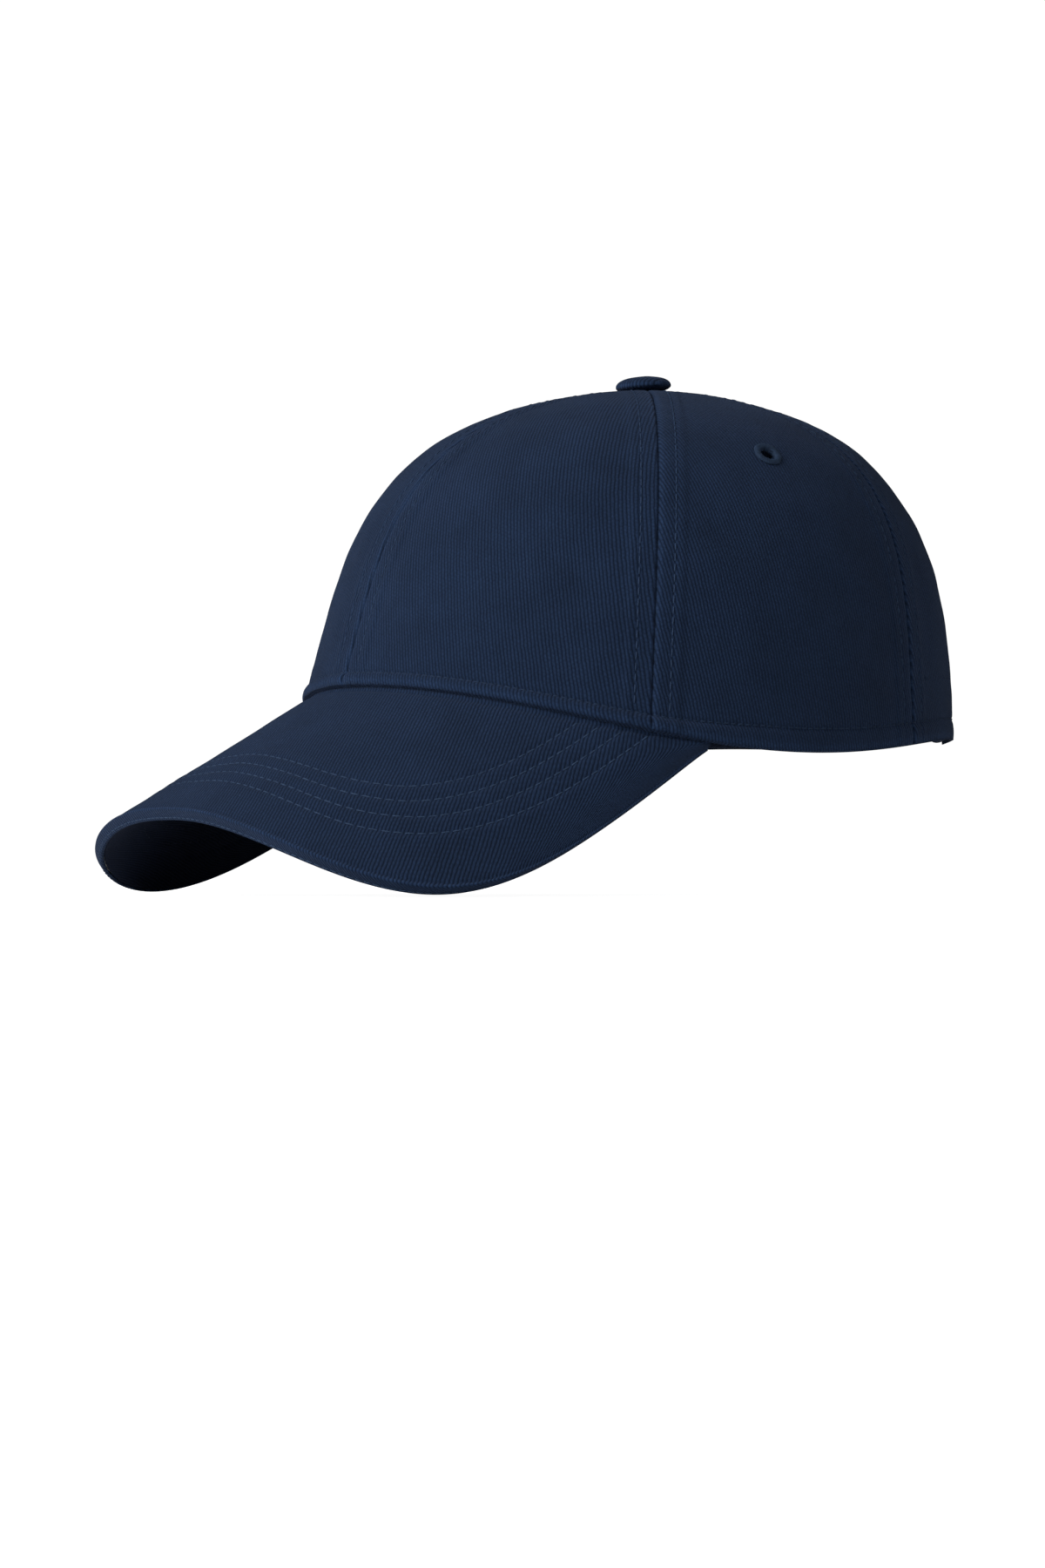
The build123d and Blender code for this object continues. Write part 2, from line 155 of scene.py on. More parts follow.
def dip(value, centre, width):
    """A bell of height 1 round a centre."""
    return np.exp(-(((value - centre) / width) ** 2))


def ripple(points, size, seed, count=14):
    """Soft random waves, mostly within -1 to 1, of about this length. The seed fixes them."""
    draw = np.random.default_rng(seed)
    total = 0.0
    for _ in range(count):
        direction = draw.normal(size=3)
        turn = 2 * pi / size * draw.uniform(0.6, 1.4) / np.linalg.norm(direction)
        total = total + np.sin(points @ direction * turn + draw.uniform(0, 2 * pi))
    return total / sqrt(2 * count)


def unit(vectors):
    """Vectors scaled to length 1."""
    return vectors / np.maximum(np.linalg.norm(vectors, axis=-1, keepdims=True), 1e-12)


def run_along(points):
    """Lengths along a row of points, from 0 at its first."""
    return np.concatenate([[0], np.cumsum(np.linalg.norm(np.diff(points, axis=0), axis=-1))])


def first_share(shape, reached, steps=40):
    """The shares at which reached(shares) turns true, found by halving."""
    low, high = np.zeros(shape), np.ones(shape)
    for _ in range(steps):
        middle = (low + high) / 2
        found = reached(middle)
        high, low = np.where(found, middle, high), np.where(found, low, middle)
    return high


def mirrored(points, side):
    """Points as they are on the left, where side is 1, or mirrored to the right."""
    return points * np.array([side, 1, 1])


def crown_skin(angle, share):
    """Points of the crown's outer face, share 0 at the base and 1 at the button."""
    angle, share = np.broadcast_arrays(np.asarray(angle, float), np.asarray(share, float))
    turn = np.radians(angle)
    x = (half_width - rear_taper * np.cos(turn)) * np.sin(turn)
    y = -half_length * np.cos(turn) - button_shift
    reach = np.hypot(x, y)
    base = wave(base_wave, angle)
    climb = wave(lower_pull, angle) * (crown_height - base)
    pull = wave(upper_pull, angle) * reach
    lower = reach - climb * np.tan(np.radians(wave(wall_lean, angle)))
    upper = crown_height - pull * np.tan(np.radians(wave(top_slope, angle)))
    keep = 1 - share
    foot_part, low_part = keep**3, 3 * share * keep**2
    high_part, top_part = 3 * share**2 * keep, share**3
    radius = foot_part * reach + low_part * lower + high_part * pull
    height = foot_part * base + low_part * (base + climb) + high_part * upper + top_part * crown_height
    return in_crown(x / reach * radius, button_shift + y / reach * radius, height)


def crown_normal(angle, share):
    """Outward directions of the crown's face."""
    along = crown_skin(angle + 0.05, share) - crown_skin(angle - 0.05, share)
    return unit(np.cross(along, crown_skin(angle, share + 1e-3) - crown_skin(angle, share - 1e-3)))


def crown_point(angle, share, out):
    """Points that stand out from the crown's face, or lie under it where out is negative."""
    return crown_skin(angle, share) + crown_normal(angle, share) * np.asarray(out)[..., None]


def climb_length(angle, share, steps=40):
    """Length along the meridians from the base to these shares."""
    angle, share = np.broadcast_arrays(np.asarray(angle, float), np.asarray(share, float))
    total = np.zeros(share.shape)
    before = crown_skin(angle, 0 * share)
    for step in range(1, steps + 1):
        here = crown_skin(angle, share * step / steps)
        total += np.linalg.norm(here - before, axis=-1)
        before = here
    return total * np.sign(share)


def share_where(angle, reached):
    """For each angle, the share at which reached(points in the crown's frame, foot) turns true."""
    angle = np.asarray(angle, float)
    foot = to_crown(crown_skin(angle, 0.0))
    return first_share(angle.shape, lambda share: reached(to_crown(crown_skin(angle, share)), foot))


def share_at_height(angle, height):
    """The share at a height above the base."""
    return share_where(angle, lambda point, foot: point[..., 2] - foot[..., 2] >= height)


def share_at_radius(angle, radius):
    """The share at a distance from the button's axis."""
    return share_where(
        angle, lambda point, foot: np.hypot(point[..., 0], point[..., 1] - button_shift) <= radius
    )


def seam_gap(points, angle):
    """Distances to the upright plane through the button and a seam, positive towards larger angles."""
    out = to_crown(crown_skin(angle, 0.0)) - (0, button_shift, 0)
    out = out[:2] / np.hypot(out[0], out[1])
    inside = to_crown(points) - (0, button_shift, 0)
    return inside[..., 1] * out[0] - inside[..., 0] * out[1]


def beside_seam(angle, share, gap):
    """The angle of the points at a distance from a seam."""
    step = crown_skin(angle + 0.5, share) - crown_skin(angle - 0.5, share)
    guess = angle + gap / np.linalg.norm(step, axis=-1)
    for _ in range(4):
        error = seam_gap(crown_skin(guess, share), angle) - gap
        guess = guess - error / np.linalg.norm(step, axis=-1)
    return guess


def on_rear(x, z):
    """Angles and shares of the rear points at these places across and up the crown."""
    x, z = np.broadcast_arrays(np.asarray(x, float), np.asarray(z, float))
    angle, share = 180 - np.degrees(np.arcsin(x / 90)), np.clip(z / 150, 0.01, 0.6)
    for _ in range(12):
        here = to_crown(crown_skin(angle, share))
        by_angle = to_crown(crown_skin(angle + 0.01, share)) - here
        by_share = to_crown(crown_skin(angle, share + 1e-4)) - here
        a, b, c, d = by_angle[..., 0], by_share[..., 0], by_angle[..., 2], by_share[..., 2]
        miss_x, miss_z, size = x - here[..., 0], z - here[..., 2], a * d - b * c
        angle = angle + 0.01 * (d * miss_x - b * miss_z) / size
        share = share + 1e-4 * (a * miss_z - c * miss_x) / size
    return angle, share


def arch_gap(points):
    """About how far points on the rear are outside the opening's edge."""
    x, y, z = np.moveaxis(to_crown(points), -1, 0)
    rise = arch_top - arch_spring
    over = np.hypot(x / arch_half_width, (z - arch_spring) / rise)
    round_gap = (over - 1) * np.where(over > 0, np.hypot(x, z - arch_spring) / np.maximum(over, 1e-6), 0)
    gap = np.where(z > arch_spring, round_gap, np.abs(x) - arch_half_width)
    return np.where(y > 0, gap, 99.0)


def bezier(points, share):
    """Points of a Bezier curve with these control points."""
    points = [np.asarray(point, float) * np.ones(share.shape + (1,)) for point in points]
    while len(points) > 1:
        points = [a + (b - a) * share[..., None] for a, b in zip(points, points[1:])]
    return points[0]


def brim_skin(side, share):
    """Points of the brim's middle face: side -1 to 1 across it, share 0 at the crown and 1 at the edge."""
    side, share = np.broadcast_arrays(np.asarray(side, float), np.asarray(share, float))
    across = np.abs(side)
    root = crown_point(across * brim_reach, np.zeros(across.shape), -panel_thickness * np.ones(across.shape))
    root = root - UP * root_drop
    end = to_crown(crown_skin(brim_reach, 0.0))
    edge = bezier((*brim_edge, end), across)
    place = root + (in_crown(*np.moveaxis(edge, -1, 0)) - root) * share[..., None]
    place[..., 0] *= np.where(side < 0, -1, 1)
    return place


def brim_depth(side):
    """Lengths from the crown to the brim's edge."""
    return np.linalg.norm(brim_skin(side, 1.0) - brim_skin(side, 0.0), axis=-1)


def brim_up(side, share):
    """Upward directions of the brim's face."""
    along = brim_skin(side + 0.005, share) - brim_skin(side - 0.005, share)
    return -unit(np.cross(along, brim_skin(side, share + 1e-3) - brim_skin(side, share - 1e-3)))


def brim_point(side, share, out):
    """Points above the brim's top face, or in and under it where out is negative. Its tips are thinner."""
    rise = brim_thickness / 2 * (1 - np.abs(side) ** 10) * np.clip(share, 0, 1)
    tuck = 1 - 0.85 * smooth(np.abs(side), 0.9, brim_tip)
    lift = rise + out * np.where(out < 0, tuck, 1)
    return brim_skin(side, share) + brim_up(side, share) * lift[..., None]


def quilt_place(points):
    """Which stitch row of the brim passes through these points: 0 is the inner one."""
    x, y, _ = np.moveaxis(to_crown(points), -1, 0)
    ahead = np.maximum(-y - quilt_back, 0) / quilt_length
    reach = (np.abs(x / quilt_width) ** quilt_power + ahead**quilt_power) ** (1 / quilt_power)
    return (reach - 1) / quilt_step


# How the cloth departs from the plain forms.


def hem_row(angle):
    """Height of the hem's stitches, which is larger behind the brim."""
    return hem_row_front + (hem_row_rear - hem_row_front) * smooth(np.abs(angle), 58, 84)


def seam_relief(gap, run):
    """Cloth beside a seam rolls in at the joint, lies on its allowance and dips at the stitches."""
    roll = -0.8 * np.exp(-np.abs(gap) / 0.42)
    stitches = -(0.16 + 0.06 * np.cos(2 * pi * run / 3.1)) * dip(gap, seam_row, 0.8)
    pucker = 0.07 * np.sin(2 * pi * run / 8.3 + 2 * np.sin(run / 17)) * dip(gap, 3.0, 3.2)
    return roll + stitches + pucker


def hem_relief(height, angle):
    """Cloth above the crown's edge: a rolled lip, a dip at the stitches and the turned-up allowance."""
    scaled = height * hem_row_front / hem_row(angle)
    lip = 1.2 * np.sin(pi * np.clip((scaled + 0.6) / 4.6, 0, 1)) ** 0.8
    stitches = -0.28 * dip(scaled, hem_row_front, 0.5)
    allowance = 0.14 * smooth(scaled, 3.4, 4.6) * (1 - smooth(scaled, 9.0, 11.5))
    return lip * (1 - smooth(np.abs(angle), 60, 90) * 0.7) + stitches + allowance


def crown_relief(points, angle, height, seams, seed):
    """How far a panel's cloth stands out from the crown's plain form."""
    gaps = [np.abs(seam_gap(points, seam)) for seam in seams]
    near = np.minimum(*gaps)
    relief = seam_relief(gaps[0], height) + seam_relief(gaps[1], height + 40)
    relief = relief + 0.36 * (1 - smooth(near, seam_allowance - 1.0, seam_allowance + 0.5))
    relief = relief + hem_relief(height, angle)
    opening = arch_gap(points)
    relief = relief - 0.35 * np.exp(-np.abs(opening) / 0.3) - 0.12 * dip(opening, 1.8, 0.6)
    slack = smooth(near, 2, 16) * smooth(height, 4, 18)
    relief = relief + slack * (0.2 + 0.55 * ripple(points, 46, seed) + 0.16 * ripple(points, 17, seed + 1))
    return np.maximum(relief, -0.6 - 0.3 * dip(near, 0, 2)) + 0.02 * ripple(points, 5, seed + 2)


def wear_and_highlight_of(relief_gap, height):
    """How much lighter the cloth is painted along seam ridges and the lip: wear, and painted highlight where
    these ridges catch the light.
    """
    return np.clip(dip(relief_gap, 1.1, 0.7) * 0.5 + dip(height, 1.0, 0.9) * 0.6, 0, 1)


def quilt_relief(points, side, share):
    """How far the brim's top cover stands out: soft channels at the stitch rows, and slack between them."""
    row = quilt_place(points)
    inside = smooth(row, -1.0, -0.4) * (1 - smooth(row, quilt_rows - 0.6, quilt_rows))
    channels = sum(dip(row, number, 0.12) - 0.4 * dip(row, number + 0.26, 0.12)
                   for number in range(quilt_rows))
    swell = 0.07 * inside * (0.5 - 0.5 * np.cos(2 * pi * row))
    root = 0.15 * (1 - smooth(share, 0.0, 0.008)) - 0.6 * dip(share, 0.024, 0.016)
    loose = 0.16 * ripple(points, 24, 31) + 0.03 * ripple(points, 7, 32)
    return swell - 0.26 * channels + root + loose * smooth(share, 0.02, 0.3) * (1 - np.abs(side) ** 6)


# Meshes.


def grid_faces(rows, columns, start=0):
    """Quads of a grid of points."""
    corner = np.arange(rows - 1)[:, None] * columns + np.arange(columns - 1)[None, :] + start
    return np.stack([corner, corner + 1, corner + columns + 1, corner + columns], -1).reshape(-1, 4)


def rim_faces(outer, inner):
    """Quads between two rows of points."""
    return np.stack([outer[:-1], inner[:-1], inner[1:], outer[1:]], -1)


def shell_parts(outer, inner, sides=("bottom", "top", "first", "last"), upto=None):
    """Points and faces of a sheet with two faces, closed along the named sides."""
    rows, columns = outer.shape[:2]
    count = rows * columns
    index = np.arange(count).reshape(rows, columns)
    lines = {"bottom": index[0], "top": index[-1], "first": index[:, 0], "last": index[:upto, -1]}
    faces = [grid_faces(rows, columns), grid_faces(rows, columns, count)]
    faces += [rim_faces(lines[side], lines[side] + count) for side in sides]
    return np.concatenate([outer.reshape(-1, 3), inner.reshape(-1, 3)]), np.concatenate(faces)


def join(parts):
    """Several sets of points and faces as one set."""
    start, points, faces = 0, [], []
    for part_points, part_faces in parts:
        points.append(part_points)
        faces += [tuple(int(corner) + start for corner in face) for face in part_faces]
        start += len(part_points)
    return np.concatenate(points), faces


def loop_faces(index):
    """Quads between rows of points that each close on themselves."""
    wrapped = np.concatenate([index, index[:, :1]], 1)
    return [tuple(face) for pair in zip(wrapped[:-1], wrapped[1:]) for face in rim_faces(*pair)]


def tube_parts(rings):
    """Points and faces of a closed tube through rings of points, with its ends capped."""
    index = np.arange(rings.shape[0] * rings.shape[1]).reshape(rings.shape[:2])
    return rings.reshape(-1, 3), loop_faces(index) + [tuple(index[0]), tuple(index[-1])]


def make_piece(name, points, faces, material, body="cap", weave=None, wear_and_highlight=None, replaces=()):
    """A mesh object that rides on a body. Weave holds each point's place on the flat cloth."""
    mesh = bpy.data.meshes.new(name)
    mesh.from_pydata((points * MM).tolist(), [], [tuple(map(int, face)) for face in faces])
    place = mesh.attributes.new("weave", "FLOAT_VECTOR", "POINT")
    place.data.foreach_set("vector", np.asarray(points if weave is None else weave, np.float32).ravel())
    # How much lighter each point is painted: wear, and painted highlight on ridges, edges and the lip.
    wear_and_highlight_paint = mesh.attributes.new("wear_and_highlight", "FLOAT", "POINT")
    wear_and_highlight_paint.data.foreach_set("value", np.asarray(np.zeros(len(points)) if wear_and_highlight is None else wear_and_highlight, np.float32))
    shape = bmesh.new()
    shape.from_mesh(mesh)
    bmesh.ops.remove_doubles(shape, verts=shape.verts, dist=1e-6)
    bmesh.ops.recalc_face_normals(shape, faces=shape.faces)
    shape.to_mesh(mesh)
    shape.free()
    mesh.shade_smooth()
    mesh.materials.append(material)
    piece = bpy.data.objects.new(name, mesh)
    bpy.context.scene.collection.objects.link(piece)
    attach(piece, body)
    if replaces:
        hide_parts(*replaces)
    return piece


def flat(*arrays):
    """Grids of numbers as rows of a list, one row a point."""
    return np.stack([np.asarray(array, float).ravel() for array in arrays], -1)


# Materials.


def add_node(tree, kind, inputs=(), **settings):
    """A node with settings, and inputs by name or number that are values or other nodes' outputs."""
    node = tree.nodes.new("ShaderNode" + kind)
    for key, value in settings.items():
        setattr(node, key, value)
    for key, value in dict(inputs).items():
        if isinstance(value, bpy.types.NodeSocket):
            tree.links.new(value, node.inputs[key])
        else:
            node.inputs[key].default_value = value
    return node


def add_math(tree, operation, first, second=0.0, third=0.5):
    """The output of a math node."""
    return add_node(tree, "Math", {0: first, 1: second, 2: third}, operation=operation).outputs[0]


def add_noise(tree, place, scale, detail):
    """The output of a noise of about this many waves to a unit of place."""
    return add_node(tree, "TexNoise", {"Vector": place, "Scale": scale, "Detail": detail}).outputs["Fac"]


def remap(tree, value, low, high, at_low, at_high):
    """The value moved from one range to another, and held inside it."""
    return add_node(tree, "MapRange", {0: value, 1: low, 2: high, 3: at_low, 4: at_high}).outputs[0]


def read_weave(tree):
    """Each point's place on the flat cloth."""
    return add_node(tree, "Attribute", attribute_name="weave").outputs["Vector"]


def paint(tree, shader, colour, tone):
    """Gives the shader a colour that is lighter or darker by tone."""
    toned = add_node(tree, "VectorMath", {0: colour, "Scale": tone}, operation="SCALE").outputs[0]
    tree.links.new(toned, shader.inputs["Base Color"])


def emboss(tree, shader, height, depth, strength):
    """Gives the shader a relief of this depth."""
    bump = add_node(tree, "Bump", {"Height": height, "Distance": depth * MM, "Strength": strength})
    tree.links.new(bump.outputs[0], shader.inputs["Normal"])


def new_material(name):
    """A material with its node tree and its one shader."""
    material = bpy.data.materials.new(name)
    material.use_nodes = True
    return material, material.node_tree, material.node_tree.nodes["Principled BSDF"]


def cloth_material(name, colour, grain, pitch=0.98, relief=0.3, sheen=0.08, mottle=0.17):
    """Twill: slanted ribs of short threads, brushed, with soft uneven dye, and ridges painted lighter for
    wear and as painted highlight.
    """
    material, tree, shader = new_material(name)
    cloth = read_weave(tree)
    spot = add_node(tree, "TexCoord").outputs["Object"]
    drift = add_node(tree, "TexNoise", {"Vector": cloth, "Scale": 0.35, "Detail": 2.0}).outputs["Color"]
    drifted = add_node(tree, "VectorMath", {0: drift, "Scale": 0.5}, operation="SCALE").outputs[0]
    loose = add_node(tree, "VectorMath", {0: cloth, 1: drifted}, operation="ADD").outputs[0]
    turned = add_node(tree, "Mapping", {"Vector": loose, "Rotation": (0, 0, radians(grain))}).outputs[0]
    parts = add_node(tree, "SeparateXYZ", {0: turned})
    rib = add_math(tree, "MULTIPLY", parts.outputs[0], pi / pitch)
    ridge = add_math(tree, "ABSOLUTE", add_math(tree, "SINE", rib))
    number = add_math(tree, "FLOOR", add_math(tree, "DIVIDE", rib, pi))
    step = add_math(tree, "MULTIPLY", number, pi / 2)
    thread = add_math(tree, "ADD", add_math(tree, "MULTIPLY", parts.outputs[1], 2.6 / pitch), step)
    knot = add_math(tree, "ABSOLUTE", add_math(tree, "SINE", thread))
    body = add_math(tree, "MULTIPLY", ridge, add_math(tree, "MULTIPLY_ADD", knot, 0.22, 0.5))
    fuzz = add_noise(tree, cloth, 4.5, 3.0)
    height = add_math(tree, "ADD", body, add_math(tree, "MULTIPLY", fuzz, 0.55))

    clouds = add_node(tree, "TexNoise", {"Vector": spot, "Scale": 50.0, "Detail": 5.0, "Roughness": 0.72})
    shade = remap(tree, clouds.outputs["Fac"], 0.3, 0.7, 1 - mottle, 1 + mottle)
    fleck = remap(tree, add_noise(tree, cloth, 1.3, 2.0), 0.3, 0.7, 0.86, 1.14)
    threads = remap(tree, height, 0.25, 1.2, 0.42, 1.5)
    # Ridges, edges and the lip painted up to 60% lighter: wear and painted highlight.
    wear_and_highlight_paint = add_node(tree, "Attribute", attribute_name="wear_and_highlight").outputs["Fac"]
    tone = add_math(tree, "MULTIPLY", add_math(tree, "MULTIPLY", shade, fleck), threads)
    tone = add_math(tree, "MULTIPLY", tone, add_math(tree, "ADD", add_math(tree, "MULTIPLY", wear_and_highlight_paint, 0.6), 1.0))
    paint(tree, shader, colour, tone)
    emboss(tree, shader, height, relief, 0.9)
    tree.links.new(remap(tree, height, 0.2, 1.2, 0.98, 0.82), shader.inputs["Roughness"])
    shader.inputs["Specular IOR Level"].default_value = 0.08
    shader.inputs["Sheen Weight"].default_value = sheen
    shader.inputs["Sheen Roughness"].default_value = 0.55
    shader.inputs["Sheen Tint"].default_value = (0.45, 0.6, 1.0, 1.0)
    return material


def thread_material(name, colour):
    """Sewing thread: two plies laid round each other, with a soft gloss."""
    material, tree, shader = new_material(name)
    cloth = read_weave(tree)
    parts = add_node(tree, "SeparateXYZ", {0: cloth})
    slant = add_math(tree, "ADD", add_math(tree, "MULTIPLY", parts.outputs[0], 11.0), parts.outputs[1])
    ply = add_math(tree, "ABSOLUTE", add_math(tree, "SINE", slant))
    spread = add_math(tree, "ADD", add_noise(tree, cloth, 0.8, 1.0), 0.5)
    twist = add_math(tree, "ADD", add_math(tree, "MULTIPLY", ply, 0.5), 0.7)
    paint(tree, shader, colour, add_math(tree, "MULTIPLY", twist, spread))
    emboss(tree, shader, ply, 0.05, 0.8)
    shader.inputs["Roughness"].default_value = 0.7
    shader.inputs["Specular IOR Level"].default_value = 0.12
    return material


def metal_material(name, colour, rough):
    """Plated metal with a brushed grain and darker, duller patches."""
    material, tree, shader = new_material(name)
    spot = add_node(tree, "TexCoord").outputs["Object"]
    grain = add_noise(tree, spot, 900.0, 4.0)
    paint(tree, shader, colour, remap(tree, add_noise(tree, spot, 160.0, 3.0), 0.3, 0.7, 0.6, 1.15))
    emboss(tree, shader, grain, 0.02, 0.5)
    tree.links.new(remap(tree, grain, 0.3, 0.7, rough - 0.08, rough + 0.12), shader.inputs["Roughness"])
    shader.inputs["Metallic"].default_value = 1.0
    return material


def mesh_material(name, colour, pitch, rough=0.8):
    """Open square weave, as of buckram, or a fine satin where the pitch is small."""
    material, tree, shader = new_material(name)
    cloth = read_weave(tree)
    parts = add_node(tree, "SeparateXYZ", {0: cloth})
    waves = [add_math(tree, "ABSOLUTE", add_math(tree, "SINE", add_math(tree, "MULTIPLY", out, pi / pitch)))
             for out in parts.outputs[:2]]
    height = add_math(tree, "MAXIMUM", *waves)
    uneven = add_math(tree, "ADD", add_noise(tree, cloth, 0.6, 3.0), 0.5)
    lit = remap(tree, height, 0.5, 1.0, 0.45, 1.1)
    paint(tree, shader, colour, add_math(tree, "MULTIPLY", lit, uneven))
    emboss(tree, shader, height, 0.15, 0.8)
    shader.inputs["Roughness"].default_value = rough
    return material


def plastic_material(name, colour):
    """Moulded plastic with a fine orange-peel surface."""
    material, tree, shader = new_material(name)
    spot = add_node(tree, "TexCoord").outputs["Object"]
    peel = add_noise(tree, spot, 700.0, 2.0)
    paint(tree, shader, colour, remap(tree, peel, 0.3, 0.7, 0.94, 1.04))
    emboss(tree, shader, peel, 0.03, 0.4)
    shader.inputs["Roughness"].default_value = 0.45
    return material


navy = (0.0120, 0.0246, 0.0575)
front_cloth = cloth_material("twill_front", navy, -13)
side_cloth = cloth_material("twill_side", navy, -12)
brim_cloth = cloth_material("twill_brim", navy, 37)
# The under cover's navy is painted darker: painted shade for the shade under the brim.
under_cloth_painted_shade = cloth_material("twill_under_painted_shade", (0.0065, 0.0105, 0.025), 32, pitch=0.6, relief=0.08, sheen=0.03)
band_cloth = cloth_material("twill_band", (0.014, 0.022, 0.047), 62, pitch=0.4, sheen=0.2)
tape_cloth = cloth_material("twill_tape", (0.013, 0.020, 0.043), 80, pitch=0.36, relief=0.1, sheen=0.15)
thread = thread_material("thread_navy", (0.026, 0.047, 0.096))
hem_thread = thread_material("thread_hem", (0.019, 0.035, 0.072))
brim_thread = thread_material("thread_brim", (0.036, 0.062, 0.118))
# The underside's thread is painted darker: painted shade for the shade under the brim.
under_thread_painted_shade = thread_material("thread_under_painted_shade", (0.008, 0.014, 0.032))
ring_thread = thread_material("thread_eyelet", (0.022, 0.040, 0.078))
buckram_weave = mesh_material("buckram_weave", (0.030, 0.034, 0.045), 1.1)
label_weave = mesh_material("label_weave", (0.62, 0.61, 0.58), 0.25, 0.5)
brass = metal_material("antique_brass", (0.33, 0.23, 0.12), 0.34)
steel = metal_material("plain_steel", (0.55, 0.55, 0.56), 0.38)
board = plastic_material("board_plastic", (0.75, 0.75, 0.72))


# Crown panels.

seam_steps = np.array([0, 0.12, 0.25, 0.42, 0.62, 0.9, 1.25, 1.7, 2.3, 3.0, 3.7, 4.3, 4.7, 5.0, 5.3, 5.7,
                       6.3, 7.0, 7.7, 8.4, 9.2, 10.2])
middle_columns = 56
hem_heights = np.array([0, 0.3, 0.6, 1.0, 1.4, 1.8, 2.2, 2.6, 3.0, 3.4, 3.7, 4.0, 4.3, 4.7, 5.2, 5.8, 6.5,
                        7.3, 8.1, 9.0, 10.0, 11.0])
row_step = 1.25
lip_turn = ((-0.42, -0.9), (-0.36, -0.6), (-0.16, -0.15), (-0.06, 0.25))
halves = ((1, "left"), (-1, "right"))
crown_panels = (("front", 0, front_seam), ("side", front_seam, back_seam), ("back", back_seam, rear_seam))
panel_cloths = {"front": front_cloth, "side": side_cloth, "back": side_cloth}
panel_seeds = {"front": 3, "side": 11, "back": 23}


def spread_columns(width):
    """Positions across a row of this width, close together beside the seams."""
    edge = seam_steps * min(1.0, 0.45 * width / seam_steps[-1])
    middle = np.linspace(edge[-1], width - edge[-1], middle_columns + 2)[1:-1]
    return np.concatenate([edge, middle, width - edge[::-1]])


def row_angles(first, last, share):
    """Angles of a row's points between two angles."""
    table = np.linspace(first, last, 300)
    run = run_along(crown_skin(table, share))
    return np.interp(spread_columns(run[-1]), run, table)


def row_shares(first, last, stop_at=None):
    """Shares of a panel's rows, close together at the hem, with one row at stop_at."""
    middle = (first + last) / 2
    top = float(share_at_radius(middle, crown_hole))
    table = np.linspace(0, top, 800)
    lengths = climb_length(middle, table)
    if stop_at is None:
        heights = np.concatenate([hem_heights, np.arange(hem_heights[-1] + row_step, lengths[-1], row_step)])
        return np.append(np.interp(heights, lengths, table), top), None
    stop = float(np.interp(stop_at, table, lengths))
    lower = np.arange(hem_heights[-1] + row_step, stop - 0.5 * row_step, row_step)
    upper = np.arange(stop, lengths[-1] - 0.5 * row_step, row_step)
    heights = np.concatenate([hem_heights, lower, upper])
    shares = np.append(np.interp(heights, lengths, table), top)
    return shares, len(hem_heights) + len(lower)


def hem_stretch(angle, share):
    """Shares near the base, spread out where the hem is wider, for rows made for the front's hem."""
    extra = (hem_row(angle) - hem_row_front) / unit_length
    reach = hem_row_front / unit_length
    below = extra * share / reach
    above = extra * np.clip(1 - (share - reach) / 0.35, 0, 1)
    return share + np.where(share < reach, below, above)


def panel_seed(panel, side):
    """The seed of a panel's waves, which differ from left to right."""
    return panel_seeds[panel] + (100 if side < 0 else 0)


def cloth_points(angle, share, seams, side, seed):
    """Points of a panel's cloth, and the outward directions there."""
    skin, normal = crown_skin(angle, share), crown_normal(angle, share)
    height = climb_length(angle, share)
    out = crown_relief(mirrored(skin, side), angle, height, [seam * side for seam in seams], seed)
    return mirrored(skin + normal * out[..., None], side), mirrored(normal, side)


def panel_patch(angle, share, side, seams, seed, lip=True):
    """Outer and inner points of part of a panel, with its weave, and how much lighter it is painted for wear
    and painted highlight.
    """
    height = climb_length(angle, share)
    skin = crown_skin(angle, share)
    outer = cloth_points(angle, share, seams, side, seed)[0]
    inner = mirrored(skin - crown_normal(angle, share) * panel_thickness, side)
    gap = np.minimum(*[np.abs(seam_gap(skin, seam)) for seam in seams])
    # Painted lighter along seam ridges and the lip: wear and painted highlight.
    wear_and_highlight = wear_and_highlight_of(gap, height)
    if lip:
        even = np.ones(angle.shape[1])
        rows = [mirrored(crown_point(angle[0], low / unit_length * even, over * even), side)
                for low, over in lip_turn]
        outer = np.concatenate([rows, outer])
        inner, wear_and_highlight = (np.concatenate([[grid[0]] * len(rows), grid]) for grid in (inner, wear_and_highlight))
        height = np.concatenate([[height[0] - 0.5] * len(rows), height])
    weave = flat(seam_gap(outer, side * sum(seams) / 2), height, 0 * height)
    return outer, inner, np.tile(weave, (2, 1)), np.tile(wear_and_highlight.ravel(), 2)


def plain_panel(first, last, side, seed):
    """A front or side panel, on the left where side is 1."""
    shares, _ = row_shares(first, last)
    angles = np.array([row_angles(first, last, share) for share in shares])
    grid = hem_stretch(angles, shares[:, None])
    outer, inner, weave, wear_and_highlight = panel_patch(angles, grid, side, (first, last), seed)
    return (*shell_parts(outer, inner, ("top", "first", "last", "bottom")), weave, wear_and_highlight)


